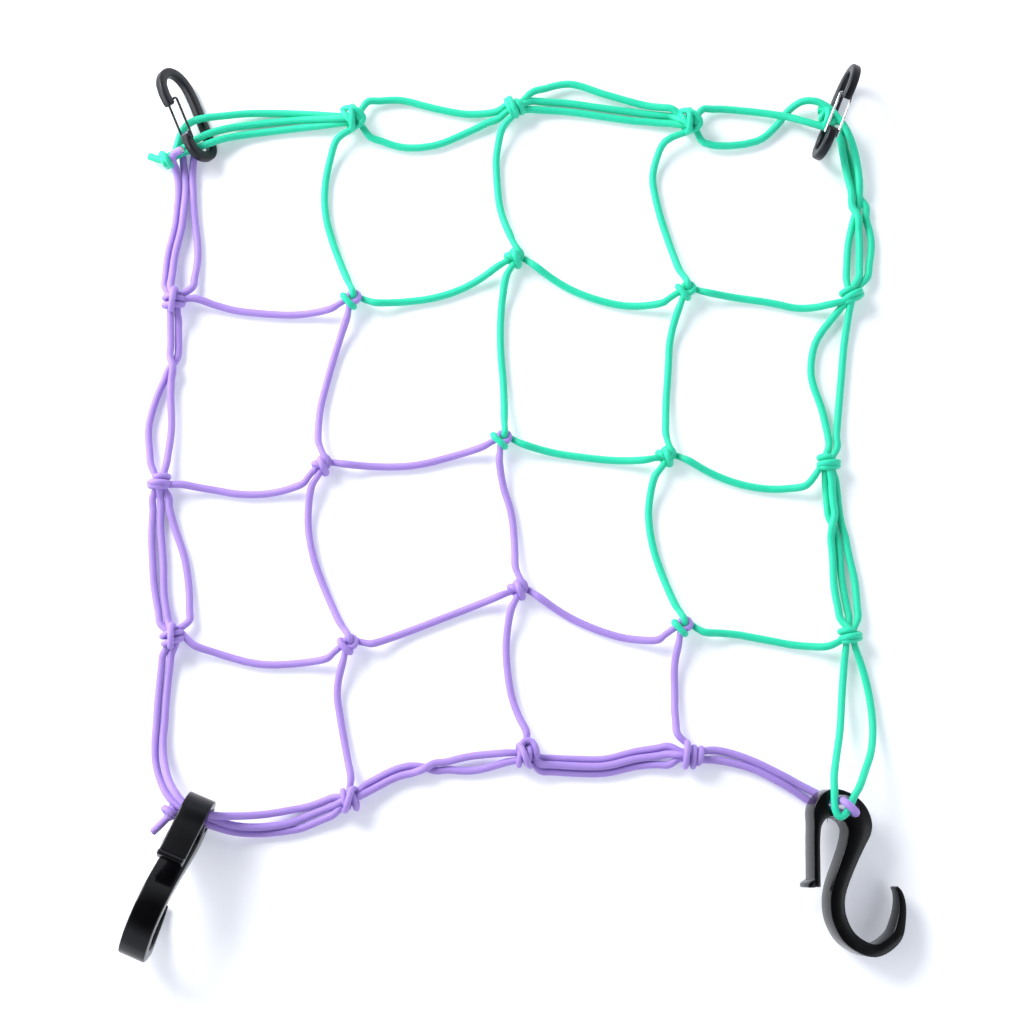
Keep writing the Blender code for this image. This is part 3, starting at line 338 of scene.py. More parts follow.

# %% [markdown]
# ## Curves through places
# A few given places make a smooth cord when a Catmull-Rom curve runs through them.
# `spread` then sets points on it at even distances, which keeps the braid's pattern even.

# %% Curve helpers


def spread(points, step):
    """Points at even distances of about step along a line, ends kept."""
    points = np.asarray(points, float)
    steps = np.linalg.norm(np.diff(points[:, :3], axis=0), axis=1)
    along = np.concatenate([[0], np.cumsum(steps)])
    count = max(2, int(round(along[-1] / step)) + 1)
    where = np.linspace(0, along[-1], count)
    return np.stack([np.interp(where, along, column) for column in points.T], axis=1)


def between(first, last, start, end, now):
    """The place now on a line that passes first at the time start and last at the time end."""
    return (end - now) / (end - start) * first + (now - start) / (end - start) * last


def smooth(points, fine=8):
    """A Catmull-Rom curve through the points, spaced by the square root of their distances."""
    points = np.asarray(points, float)
    ends = np.vstack([2 * points[0] - points[1], points, 2 * points[-1] - points[-2]])
    out = []
    for k in range(1, len(ends) - 2):
        p0, p1, p2, p3 = ends[k - 1:k + 3]
        t0 = 0.0
        t1 = t0 + math.sqrt(np.linalg.norm(p1 - p0))
        t2 = t1 + math.sqrt(np.linalg.norm(p2 - p1))
        t3 = t2 + math.sqrt(np.linalg.norm(p3 - p2))
        for t in np.linspace(t1, t2, fine, endpoint=False):
            a1, a2, a3 = between(p0, p1, t0, t1, t), between(p1, p2, t1, t2, t), between(p2, p3, t2, t3, t)
            b1, b2 = between(a1, a2, t0, t2, t), between(a2, a3, t1, t3, t)
            out.append(between(b1, b2, t1, t2, t))
    out.append(points[-1])
    return np.array(out)


# %% [markdown]
# ## The inner knots
# Where two twines meet they are tied in a sheet bend: a bight, and a second twine that wraps
# round it. A knot's shape is hard to draw by hand but easy to pull tight: the two
# lines are laid loosely in the right order of over and under, then shortened again and again
# while points that come nearer than one cord push each other away.

# %% Tie the sheet bends
# A sheet bend in turn spacings: along towards the bight's nose, across and up.
BIGHT = ((-1.2, 0.85, 0), (0.3, 0.95, 0), (1.3, 0.75, 0), (1.75, 0, 0),
         (1.3, -0.75, 0), (0.3, -0.95, 0), (-1.2, -0.85, 0))
WRAP = ((1.3, 0.8, 1.05), (0.6, 0.15, 0.7), (0.3, 0, 0), (0.2, 0.1, -0.9), (0, 0.9, -1.95),
        (-0.3, 1.9, -1.3), (-0.6, 2.1, 0), (-0.9, 1.3, 1), (-0.9, 0, 1.15), (-0.9, -1.3, 0.95),
        (-0.9, -1.95, 0), (-0.8, -1.3, -1), (-0.6, -0.3, -1.15), (-0.35, 0.7, -1.05),
        (0.3, 0.6, -1.1), (0.7, -0.3, -1.1), (0.8, -1.2, -1), (0.6, -2.3, -0.8))
ROPE_STEP = 0.35      # between a settling rope's points, in turn spacings
REACH = 1.75          # along a rope, its points this near don't push each other
BEND = 0.6            # tightest bend, in turn spacings
ROUNDS = 110          # of pulling, each followed by PUSHES of pushing apart
PUSHES = 6
PULL = 0.35           # share of the way to a straight line that one round pulls
RESPACE = 5           # rounds between evening out a rope's points
NEIGHBOURS = 0.95     # points nearer along the rope than this aren't stiff
LONGEST_PUSH = 0.15   # in one step, in turn spacings
CORE_REACH = 6.0      # the knot's core reaches this many millimetres from its middle
SQUEEZE = 0.84        # and is drawn together to this share of its size


def tighten(ropes):
    """Pulls the ropes short while no two turns come nearer than TIGHT."""
    ropes = [spread(rope, ROPE_STEP * TIGHT) for rope in ropes]
    for turn in range(ROUNDS):
        for k, rope in enumerate(ropes):
            rope[2:-2] += PULL * ((rope[1:-3] + rope[3:-1]) / 2 - rope[2:-2])
            if turn % RESPACE == 0:
                ropes[k] = spread(rope, ROPE_STEP * TIGHT)
        for _ in range(PUSHES):
            every = np.concatenate(ropes)
            owner = np.concatenate([np.full(len(r), k) for k, r in enumerate(ropes)])
            order = np.concatenate([np.arange(len(r)) for r in ropes])
            apart = every[:, None] - every[None]
            distance = np.linalg.norm(apart, axis=2)
            same = owner[:, None] == owner[None]
            along = np.abs(order[:, None] - order[None]) * ROPE_STEP
            near = same & (along < REACH)
            push = np.where(~near & (distance < TIGHT), (TIGHT - distance) / 2, 0)
            chord = 2 * BEND * np.sin(np.minimum(along, REACH) / (2 * BEND)) * TIGHT
            stiff = near & (along >= NEIGHBOURS) & (distance < chord)
            push += np.where(stiff, (chord - distance) / 4, 0)
            distance[distance == 0] = 1
            move = (apart / distance[..., None] * push[..., None]).sum(axis=1)
            move /= np.clip((push > 0).sum(axis=1), 1, 2)[:, None]
            size = np.linalg.norm(move, axis=1, keepdims=True)
            move *= np.minimum(1, LONGEST_PUSH * TIGHT / np.maximum(size, 1e-9))
            first = 0
            for k, rope in enumerate(ropes):
                rope[2:-2] += move[first + 2:first + len(rope) - 2]
                rope[2:-2, 2] = np.clip(rope[2:-2, 2], KNOT_LOW, KNOT_HIGH)
                first += len(rope)
    return ropes


def bow_at(part, bows, tied):
    """How far a strand bows at a part of its way; a tied one starts and ends in its knots."""
    places = [(100 * t, bow, 0) for t, bow in zip(BOW_AT, bows)]
    curve = smooth([(0, 0, 0), *places, (100, 0, 0)] if tied else places)
    return np.interp(100 * part, curve[:, 0], curve[:, 1])


def way_between(a, b):
    """The way from one knot to another, its length and the unit direction to its left."""
    way = np.subtract(KNOTS[b], KNOTS[a]).astype(float)
    length = float(np.linalg.norm(way))
    return way, length, np.array([-way[1], way[0]]) / length


def strand_place(pair, part):
    """Plan position of an inner strand at a part of its way between two knots."""
    way, _, left = way_between(*pair)
    return KNOTS[pair[0]] + way * part + left * bow_at(part, INNER[pair], True)


def side_of(knot, other):
    """The side on which the strand to another knot leaves."""
    x, y = np.subtract(KNOTS[other], KNOTS[knot])
    if abs(x) > abs(y):
        return "right" if x > 0 else "left"
    return "up" if y > 0 else "down"


def leaving(knot):
    """Where a knot's four strands are free, from its middle, by the side they leave on."""
    sides = {}
    for pair in INNER:
        if knot in pair:
            part = TAIL / way_between(*pair)[1]
            starts = pair[0] == knot
            place = strand_place(pair, part if starts else 1 - part)
            sides[side_of(knot, pair[starts])] = place - np.array(KNOTS[knot])
    return sides


def squeeze(rope):
    """Draws the knot's core together, where the soft cord presses into itself."""
    out = np.linalg.norm(rope[:, :2], axis=1)
    held = np.interp(out, (CORE_REACH, TAIL), (SQUEEZE, 1.0))
    return rope * np.stack([held, held, np.ones(len(rope))], axis=1)


def tie_sheet_bend(knot):
    """The knot's two ropes, tightened, each by the side it starts on and ends on."""
    ways = leaving(knot)
    turned = knot in TURNED

    def place(point):
        along, across, up = point
        if turned:
            across, up = -across, -up
        return np.array([(along - across), (along + across), up * math.sqrt(2)]) * TIGHT / math.sqrt(2)

    def tail(side):
        x, y = ways[side]
        return [np.array([x, y, 0.0]), np.array([x * 0.9, y * 0.9, 0.0])]

    bight_ends = ("down", "left") if turned else ("left", "down")
    wrap_ends = ("right", "up") if turned else ("up", "right")
    ropes = []
    for (first, last), path in ((bight_ends, BIGHT), (wrap_ends, WRAP)):
        middle = [place(p) for p in path]
        ropes.append(np.array(tail(first) + middle + tail(last)[::-1]))
    tight = [squeeze(rope) for rope in tighten(ropes)]
    middle = np.array([*KNOTS[knot], KNOT_RISE])
    return {ends: rope + middle for ends, rope in zip((bight_ends, wrap_ends), tight)}


def rope_between(ties, knot, first, last):
    """A tied knot's rope from one of its sides to another."""
    ropes = ties[knot]
    return ropes[first, last] if (first, last) in ropes else ropes[last, first][::-1]


DROP = 26.0           # a strand reaches the surface this far from its knot


def strand_route(pair):
    """The free stretch of an inner strand between its two knots, tails left out."""
    length = way_between(*pair)[1]
    edge = TAIL / length
    route = []
    for part in np.linspace(edge, 1 - edge, 8):
        near = min(part, 1 - part) * length - TAIL
        rise = max(0.0, 1 - near / DROP) ** 2
        route.append((*strand_place(pair, part), LIE + (KNOT_RISE - LIE) * rise))
    return route


# %% [markdown]
# ## The border
# Two or three strands run side by side round the edge and are gathered in each border knot.
# Their places between two knots are again bows, and strands that would run into each other
# are moved apart in each cross section.

# %% Border strands
SLOTS = {"outer": (2.0, 5.6), "inner": (-2.0, 5.6), "spare": (0.0, 8.3)}     # across, up
STRAIGHT = 2.6               # a strand runs straight this far to each side of a knot's middle
STRANDS_APART = CORD + 0.6   # between the middles of neighbouring strands
HELD = 6.0                   # a strand stays raised this far from a border knot
BORDER_WAYS = {"T": ("TL", "T1", "T2", "T3", "TR"), "L": ("TL", "L1", "L2", "L3", "BL"),
               "B": ("BL", "B1", "B2", "B3", "BR"), "R": ("TR", "R1", "R2", "R3", "BR")}


def border_way(knot):
    """Unit plan direction of the border at a knot, along the way the strands are listed."""
    run = BORDER_WAYS[knot[0]]
    k = run.index(knot)
    way, length, _ = way_between(run[k - 1], run[k + 1])
    return way / length


def outward_of(knot):
    """Unit plan direction from the border at a knot to its outer side."""
    x, y = border_way(knot)
    return np.array([-y, x]) * OUTER_SIDE[knot[0]]


def slot_points(knot, slot):
    """Where a strand in this slot runs straight through a border knot."""
    across, height = SLOTS[slot]
    middle = KNOTS[knot] + outward_of(knot) * across
    return [(*(middle + border_way(knot) * d), height) for d in (-STRAIGHT, STRAIGHT)]


def part_circles(items):
    """Moves the circles of one cross section apart, above the surface."""
    items = np.array(items, float)
    for _ in range(60):
        for i in range(len(items)):
            for j in range(i + 1, len(items)):
                way = items[j] - items[i]
                distance = max(np.linalg.norm(way), 1e-6)
                if distance < STRANDS_APART:
                    step = way / distance * (STRANDS_APART - distance) / 2
                    items[i] -= step
                    items[j] += step
        items[:, 1] = np.maximum(items[:, 1], LIE)
    return items


def border_span(a, b, first=0.0, last=1.0):
    """Routes of the strands between two border knots, kept off each other."""
    rows = BORDER[a, b]
    way, length, left = way_between(a, b)
    routes = [[] for _ in rows]
    for part in STATIONS:
        if not first <= part <= last:
            continue
        near = min(part if a[1].isdigit() else 1, 1 - part if b[1].isdigit() else 1)
        rise = max(0.0, 1 - (near * length - HELD) / DROP) ** 2 * (BUNDLE_LOW - LIE)
        items = [(bow_at(part, bows, False), LIE + rise + level * LEVEL_RISE) for level, *bows in rows]
        for route, (bow, height) in zip(routes, part_circles(items)):
            route.append((*(KNOTS[a] + way * part + left * bow), height))
    return routes


def with_radius(points, radius):
    """Points as rows of place and radius."""
    return [(*point, radius) for point in points]


def lane(*steps):
    """A border strand's knot passes and free routes, in order, as rows of place and radius."""
    rows = []
    for step in steps:
        if isinstance(step, str):
            rows += with_radius(slot_points(*step.split()), KNOT_SHOWN)
        else:
            rows += with_radius(step, CORD_SHOWN)
    return rows


def green_lanes():
    """The green border strands; the longest ends in both corners and is doubled at the hook."""
    t12, t23, t3 = border_span("T1", "T2"), border_span("T2", "T3"), border_span("T3", "TR", 0, 0.3)
    r1, r12, r23 = border_span("TR", "R1", 0.5, 1), border_span("R1", "R2"), border_span("R2", "R3")
    away = (GREEN_TL["top"], "T1 outer", t12[0], "T2 outer", t23[0], "T3 outer", t3[0],
            GREEN_TR["top"], r1[0], "R1 spare", r12[0], "R2 outer", r23[0], "R3 outer")
    home = (GREEN_TL["low"], "T1 inner", t12[1], "T2 inner", t23[2], "T3 inner", t3[1][:1],
            GREEN_TR["low"], r1[1], "R1 inner", r12[1], "R2 inner", r23[1], "R3 inner")
    return {
        "round": lane(*away, GREEN_BR[::-1]) + lane(*home)[::-1],
        "upper_left": lane(GREEN_TL["middle"], "T1 spare"),
        "top": lane("T2 spare", t23[1], "T3 spare"),
        "upper_right": lane(GREEN_TR["outer"], r1[2], "R1 outer"),
        "lower_right": lane("R2 spare", r23[2], "R3 spare"),
        "tail": lane(GREEN_TR["tail"]),
    }


def purple_lanes():
    """The purple border strands; the longest is doubled through the right hook's hole."""
    l1, l12, l23 = border_span("TL", "L1", 0.4, 1), border_span("L1", "L2"), border_span("L2", "L3")
    l3, b1 = border_span("L3", "BL", 0, 0.55), border_span("BL", "B1", 0.7, 1)
    b12, b23 = border_span("B1", "B2"), border_span("B2", "B3")
    away = (PURPLE_TL["curl"], l1[0], "L1 outer", l12[0], "L2 inner", l23[1], "L3 inner", l3[1],
            PURPLE_BL["inner"], b1[0], "B1 inner", b12[1], "B2 outer", b23[1], "B3 outer")
    home = (PURPLE_TL["inner"], l1[2], "L1 inner", l12[1], "L2 outer", l23[0], "L3 outer", l3[0],
            PURPLE_BL["outer"], b1[1], "B1 spare", b12[0], "B2 inner", b23[0], "B3 inner")
    return {
        "round": lane(*away, PURPLE_BR[::-1]) + lane(*home)[::-1],
        "upper_left": lane(PURPLE_TL["middle"], l1[1], "L1 spare"),
        "lower_left": lane("L2 spare", l23[2], "L3 spare"),
        "tail": lane(PURPLE_BL["tail"], b1[2], "B1 outer"),
        "low": lane("B2 spare", b23[2], "B3 spare"),
    }


# %% [markdown]
# ## The hitches of the border knots
# Each cross cord ends in a border knot, where it is hitched round the gathered strands: up and
# over them, round underneath, across itself, round once more and in under the crossing. The
# hitch is a short table of places round the bundle, so each knot can be turned, flipped or
# tilted like the real ones, which were all tied by hand.

# %% Tie the hitches
WRAP_CORD = 3.5
BUNDLE_WIDE = 5.2            # from a bundle's middle to the middle of a turn beside it
BUNDLE_HIGH = 4.7            # and to the middle of a turn on top of it
BUNDLE_AT = BUNDLE_HIGH + WRAP_CORD / 2 + 0.1    # height of its middle
TURN_LENGTH = 20             # of a turn, roughly
WOUND_STEP = 0.9             # between the places on a turn

# turns round the bundle, millimetres along it, lift in cord diameters
HITCH = {
    "crossed": ((0, 0.6, 0), (0.25, 2.4, 0), (0.5, 3.2, 0), (0.75, 3.2, 0), (0.95, 3.4, 0),
                (1.12, 2.2, 0.5), (1.25, 0, 0.8), (1.38, -2.2, 0.5), (1.55, -3.4, 0), (1.75, -3.2, 0),
                (2, -3, 0), (2.25, -2.4, 0), (2.45, -1.2, -0.2)),
    "banded": ((0, 2.2, -0.3), (0.12, 3, -0.3), (0.3, 2.6, -0.4), (0.5, 1.6, 0), (0.75, 1.9, 0),
               (1, 1.4, 0), (1.25, 0.6, 0.1), (1.5, -0.4, 0), (1.75, -1.8, 0), (2, -2.6, 0),
               (2.2, -2.8, -0.1), (2.32, -2.4, -0.5)),
    "bridged": ((0, -1.6, 0.1), (0.12, -1.6, 0), (0.25, -2.4, -0.3), (0.5, -1.9, 0), (0.75, -1.9, 0),
                (0.95, 0, 0), (1.1, 2.2, 0), (1.25, 2.6, 0), (1.5, 2.4, 0), (1.75, 1.6, 0),
                (1.95, 0.6, -0.2)),
    "over": ((0, 0, 0.5), (0.12, 0.2, 0.8), (0.25, 0.6, 0.75), (0.42, 0.9, 0.4), (0.5, 1.2, 0.1),
             (0.75, 2.6, 0), (1, 4.2, 0), (1.25, 4.8, 0), (1.5, 5.2, 0), (1.75, 6.6, 0), (2, 8.2, 0),
             (2.25, 8.4, -0.1), (2.4, 7.6, -0.4)),
}
# border knot: (kind of hitch, tilt in degrees, 1 or -1 for which way along the border it runs)
HITCHES = {
    "T1": ("crossed", 20, -1), "T2": ("banded", 32, -1), "T3": ("crossed", 25, -1),
    "L1": ("bridged", 0, 1), "L2": ("banded", 4, 1), "L3": ("bridged", 10, 1),
    "R1": ("banded", 22, 1), "R2": ("banded", 0, 1), "R3": ("banded", 3, 1),
    "B1": ("crossed", 0, 1), "B2": ("crossed", -8, -1), "B3": ("over", 0, 1),
}


def wound(table, middle, along, inward, wide, high):
    """Cord wound round an axis through the middle, as rows of place and radius."""
    route = []
    for turned, shift, lift in spread(smooth(table, 6) * (TURN_LENGTH, 1, 1), WOUND_STEP):
        theta = 2 * math.pi * turned / TURN_LENGTH
        side, up = wide + lift * WRAP_CORD, high + lift * WRAP_CORD
        x, y, z = middle + along * shift + inward * side * math.cos(theta)
        route.append((x, y, z + up * math.sin(theta), WRAP_CORD / 2))
    return route


def hitch_route(knot):
    """The hitch's middle line with its radius, from the net's inner side."""
    kind, tilt, flip = HITCHES[knot]
    x, y = border_way(knot)
    angle = math.atan2(y, x) + math.radians(tilt)
    along = np.array([math.cos(angle), math.sin(angle), 0.0])
    inward = np.array([-along[1], along[0], 0.0]) * -OUTER_SIDE[knot[0]]
    return wound(HITCH[kind], (*KNOTS[knot], BUNDLE_AT), along * flip, inward, BUNDLE_WIDE, BUNDLE_HIGH)


# A stopper knot: two turns side by side and a third that crosses over them.
STOPPER = ((0, -1, -0.2), (0.25, -1.9, 0), (0.5, -2, 0), (0.75, -1.6, 0), (1, -0.2, 0),
           (1.25, 1.4, 0), (1.5, 1.9, 0), (1.75, 1.9, 0), (2, 1.7, 0.1), (2.2, 0.5, 0.75),
           (2.35, -1.2, 0.8), (2.5, -2.7, 0.4), (2.65, -3, -0.1))


def stopper_route(name):
    """A corner's stopper knot, as rows of place and radius."""
    middle, angle, radius, stretch = BALLS[name]
    along = np.array([math.cos(math.radians(angle)), math.sin(math.radians(angle)), 0.0])
    inward = np.array([along[1], -along[0], 0.0])
    return wound(STOPPER, middle, along * stretch, inward, radius, radius)


# Bights that show on top of a hitch: millimetres along the border, towards its outer side, and up
UPRIGHT_BIGHT = ((-5.2, -1.6, 1), (-6.6, -1, 3.6), (-5.4, -0.6, 6.2), (-1, -0.4, 7.9),
                 (2.6, -0.2, 7.7), (5.2, 0.4, 5.2), (5, 1, 2))
END_BIGHT = ((-5, 5.6, 0.5), (-2.4, 5.2, 4.4), (1.6, 3.6, 6.2), (5, 1.2, 5.6), (6.2, -2, 3.8),
             (4, -4.8, 3.4), (0.6, -5.6, 1.6), (-1.6, -5.4, -1.5))
SIDE_BIGHT = ((-1, -1, 3), (-1.8, -4.6, 5), (0.8, -7.8, 4.4), (4.6, -7.2, 4), (6.4, -3.6, 4.6),
              (6.6, 0.4, 3.6), (5.4, 3, 0.5))
BIGHTS = {"L1": UPRIGHT_BIGHT, "L3": UPRIGHT_BIGHT, "T1": END_BIGHT, "T3": END_BIGHT, "B2": SIDE_BIGHT}


def bight_route(knot):
    """A bight on top of a hitch, as rows of place and radius."""
    way, outward = border_way(knot), outward_of(knot)
    return [(*(KNOTS[knot] + way * along + outward * across), BUNDLE_AT + up, WRAP_CORD / 2)
            for along, across, up in BIGHTS[knot]]


# %% [markdown]
# ## Round cord with a braid that follows it
# A curve with a round bevel, converted to a mesh, keeps a UV map that runs along and round the
# cord. Scaling that map to real length is what lets one braid pattern fit every strand.

# %% Lay the cords
SIDES_LEVEL = 6              # a bevel of this resolution has 16 sides
WIRE_LEVEL = 5
CORD_STEP = 1.05             # between the rings of a cord's mesh
ROUND = math.pi * CORD       # once round the cord
CORE_RADIUS, CORE_THICK = 1.6, 0.8


def lay_cord(name, route):
    """A round cord along rows of place and radius, with its UV map in turns of the cord."""
    rows = spread(smooth(route, 4), CORD_STEP)
    cord = add_tube(name, metres(rows[:, :3]), rows[:, 3], MM, SIDES_LEVEL)
    layer = cord.data.uv_layers[0]
    layer.name = "cord_way"
    flat = np.zeros(len(layer.data) * 2)
    layer.data.foreach_get("uv", flat)
    flat[0::2] *= len(rows) * CORD_STEP / ROUND
    layer.data.foreach_set("uv", flat)
    return cord


def join_cords(name, cords, material):
    """Makes one piece of a colour's cords."""
    pick(*cords)
    bpy.ops.object.join()
    piece = bpy.context.object
    piece.name = name
    turn_outward(piece, merge=True)
    shade(piece, CORD_SHARP)
    dress(piece, material)
    print(name, len(piece.data.polygons), "faces")
    return piece


def show_core(piece, route):
    """Adds the pale rubber strands that show at a cord's cut end."""
    end, before = (Vector(metres(point)) for point in route[:2])
    bpy.ops.mesh.primitive_cylinder_add(
        vertices=24, radius=CORE_RADIUS * MM, depth=CORE_THICK * MM, location=end)
    core = bpy.context.object
    core.rotation_euler = (end - before).to_track_quat("Z", "Y").to_euler()
    dress(core, rubber_core)
    pick(piece, core)
    bpy.ops.object.join()


def twine_route(stops, ties):
    """A cross cord from its first hitch through its sheet bends to its last hitch."""
    route = hitch_route(stops[0])[::-1]
    for k in range(len(stops) - 1):
        a, b = stops[k], stops[k + 1]
        if k > 0:
            rope = rope_between(ties, a, side_of(a, stops[k - 1]), side_of(a, b))
            route += with_radius(rope[3:-3], KNOT_SHOWN)
        route += with_radius(strand_route((a, b)), CORD_SHOWN)
    return route + hitch_route(stops[-1])


# %% [markdown]
# ## Materials
# The cord's sheath is polyester braided from fine yarns. One node group draws the braid from
# the cord's own UV map, with painted shade in the valleys between the yarns, and a second draws
# the small unevenness of moulded, painted and drawn surfaces. Each hands its material a colour, a roughness
# and a height.

# %% Node group helpers


def start_group(name, sockets):
    """A node group with these inputs, which gives a colour, a roughness and a height."""
    group = bpy.data.node_groups.new(name, "ShaderNodeTree")
    for label, default in sockets:
        kind = "NodeSocketFloat" if isinstance(default, float) else "NodeSocketColor"
        group.interface.new_socket(label, in_out="INPUT", socket_type=kind).default_value = default
    for label, kind in (("Color", "NodeSocketColor"), ("Roughness", "NodeSocketFloat"),
                        ("Height", "NodeSocketFloat")):
        group.interface.new_socket(label, in_out="OUTPUT", socket_type=kind)
    return group, group.nodes.new("NodeGroupInput").outputs, group.nodes.new("NodeGroupOutput").inputs


def math_node(group, operation, first, second=None):
    """One step of a group's arithmetic on numbers or sockets."""
    node = group.nodes.new("ShaderNodeMath")
    node.operation = operation
    for slot, value in enumerate((first, second)):
        if isinstance(value, (int, float)):
            node.inputs[slot].default_value = value
        elif value is not None:
            group.links.new(value, node.inputs[slot])
    return node.outputs[0]


def noise(group, scale, detail):
    """Noise fixed to the object."""
    place = group.nodes.new("ShaderNodeTexCoord")
    texture = group.nodes.new("ShaderNodeTexNoise")
    set_inputs(texture, {"Scale": scale, "Detail": detail})
    group.links.new(place.outputs["Object"], texture.inputs["Vector"])
    return texture.outputs[0]


def blend(group, share, first, second):
    """A colour between two others."""
    node = group.nodes.new("ShaderNodeMix")
    node.data_type = "RGBA"
    for value, slot in ((share, 0), (first, 6), (second, 7)):
        group.links.new(value, node.inputs[slot])
    return node.outputs[2]


# %% Braid node group
SLANT = 0.8                  # how steeply the yarns run round the cord
FIBRES = (900.0, 2.0)        # scale and detail of the noise between them


def braid_group():
    """Crossing yarns on a cord, with painted shade in the valleys between them."""
    group, taken, given = start_group("braided_sheath", (
        ("Yarn", (0.1, 0.7, 0.5, 1)), ("Valley painted shade", (0.02, 0.4, 0.3, 1)), ("Yarns round", 9.0)))
    calc = partial(math_node, group)
    way = group.nodes.new("ShaderNodeUVMap")
    way.uv_map = "cord_way"
    parts = group.nodes.new("ShaderNodeSeparateXYZ")
    group.links.new(way.outputs["UV"], parts.inputs[0])
    along, across = parts.outputs[0], parts.outputs[1]
    yarns = calc("MULTIPLY", taken["Yarns round"], 2 * math.pi)
    lengthwise = calc("MULTIPLY", calc("MULTIPLY", along, SLANT), yarns)
    sideways = calc("MULTIPLY", across, yarns)
    rising = calc("SINE", calc("ADD", lengthwise, sideways))
    falling = calc("SINE", calc("SUBTRACT", lengthwise, sideways))
    cell = calc("MAXIMUM", rising, falling)
    height = calc("ADD", calc("MULTIPLY", cell, 0.5), 0.5)
    fuzz = calc("MULTIPLY", noise(group, *FIBRES), 0.45)
    relief_and_painted_shade = calc("ADD", calc("MULTIPLY", height, 0.7), fuzz)
    # the valleys between the yarns get the darker colour, which is painted shade, with the fibres' random
    # tone mixed in
    group.links.new(blend(group, relief_and_painted_shade, taken["Valley painted shade"], taken["Yarn"]), given["Color"])
    shine = calc("SUBTRACT", 0.62, calc("MULTIPLY", height, 0.2))
    group.links.new(shine, given["Roughness"])
    group.links.new(relief_and_painted_shade, given["Height"])
    return group


# %% Surface node group
PATCHES, GRAIN = (90.0, 4.0), (1400.0, 2.0)      # scale and detail of a hard surface's noises


def surface_group():
    """Patches and fine grain of a hard surface."""
    group, taken, given = start_group("hard_surface", (
        ("Base", (0.01, 0.01, 0.01, 1)), ("Worn", (0.03, 0.03, 0.03, 1)), ("Roughness", 0.3)))
    calc = partial(math_node, group)
    patches = calc("MULTIPLY", calc("SUBTRACT", noise(group, *PATCHES), 0.45), 2.5)
    share = calc("MINIMUM", calc("MAXIMUM", patches, 0.0), 1.0)
    grain = noise(group, *GRAIN)
    group.links.new(blend(group, share, taken["Base"], taken["Worn"]), given["Color"])
    uneven = calc("MULTIPLY", calc("ADD", share, grain), 0.08)
    group.links.new(calc("ADD", taken["Roughness"], uneven), given["Roughness"])
    group.links.new(grain, given["Height"])
    return group


# %% Materials
BRAID, SURFACE = braid_group(), surface_group()
CORD_RELIEF, HARD_RELIEF = (0.0003, 0.7), (0.00005, 0.25)     # metres and strength


def grouped_material(name, group, values, relief, own):
    """A material that a node group drives, with its relief and the shader's own values."""
    material = bpy.data.materials.new(name)
    material.use_nodes = True
    nodes, links = material.node_tree.nodes, material.node_tree.links
    shader = nodes["Principled BSDF"]
    pattern = nodes.new("ShaderNodeGroup")
    pattern.node_tree = group
    set_inputs(pattern, values)
    bump = nodes.new("ShaderNodeBump")
    set_inputs(bump, {"Distance": relief[0], "Strength": relief[1]})
    for source, output, target, socket in (
            (pattern, "Color", shader, "Base Color"), (pattern, "Roughness", shader, "Roughness"),
            (pattern, "Height", bump, "Height"), (bump, "Normal", shader, "Normal")):
        links.new(source.outputs[output], target.inputs[socket])
    set_inputs(shader, own)
    return material


def cord_material(name, yarn, valley_painted_shade):
    return grouped_material(name, BRAID, {"Yarn": yarn, "Valley painted shade": valley_painted_shade}, CORD_RELIEF,
                            {"Specular IOR Level": 0.4, "Sheen Weight": 0.08})


def hard_material(name, base, worn, roughness, metallic=0.0, specular=0.5):
    return grouped_material(name, SURFACE, {"Base": base, "Worn": worn, "Roughness": roughness},
                            HARD_RELIEF, {"Metallic": metallic, "Specular IOR Level": specular})


# each cord's second colour is painted shade for the valleys of its braid
mint_cord = cord_material("mint_cord", (0.012, 0.71, 0.42, 1), (0.002, 0.43, 0.26, 1))
lavender_cord = cord_material("lavender_cord", (0.42, 0.28, 0.74, 1), (0.24, 0.14, 0.50, 1))
black_plastic = hard_material(
    "black_plastic", (0.0014, 0.0014, 0.0018, 1), (0.003, 0.003, 0.004, 1), 0.12, specular=0.3)
dark_paint = hard_material(
    "dark_paint", (0.006, 0.007, 0.010, 1), (0.014, 0.015, 0.021, 1), 0.3, specular=0.3)
dull_steel = hard_material("dull_steel", (0.16, 0.18, 0.22, 1), (0.10, 0.11, 0.14, 1), 0.35, 1.0)
bright_steel = hard_material("bright_steel", (0.70, 0.71, 0.74, 1), (0.50, 0.51, 0.54, 1), 0.16, 1.0)
rubber_core = hard_material("rubber_core", (0.80, 0.76, 0.82, 1), (0.62, 0.56, 0.66, 1), 0.6)
print("materials", [material.name for material in bpy.data.materials])

# %% Make both cords
inner_knots = [name for name in KNOTS if name[0] == "N"]
ties = {knot: tie_sheet_bend(knot) for knot in inner_knots}
for colour, sides, lanes, material in (("green", "TR", green_lanes(), mint_cord),
                                       ("purple", "LB", purple_lanes(), lavender_cord)):
    cords = [lay_cord(f"{colour}_{name}", rows) for name, rows in lanes.items()]
    cords += [lay_cord(f"{colour}_twine_{path[:2]}", twine_route(path.split(), ties))
              for path in TWINES[colour]]
    cords += [lay_cord(f"bight_{knot}", bight_route(knot)) for knot in BIGHTS if knot[0] in sides]
    cords += [lay_cord(name, stopper_route(name)) for name in BALLS if name.startswith(colour)]
    piece = join_cords(f"{colour}_shock_cord", cords, material)
    if colour == "purple":
        show_core(piece, PURPLE_TL["curl"])
    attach(piece, "net")
    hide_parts(f"{colour}_cord")

# %% [markdown]
# ## Moulded hooks
# Each hook is one strap of plastic that follows a line in its own plane. A grid that is two
# vertices wide is laid along that line and extruded to the strap's width. Its slot is cut with
# a second strip, and a bevel rounds every long edge, which is where moulded plastic shines.

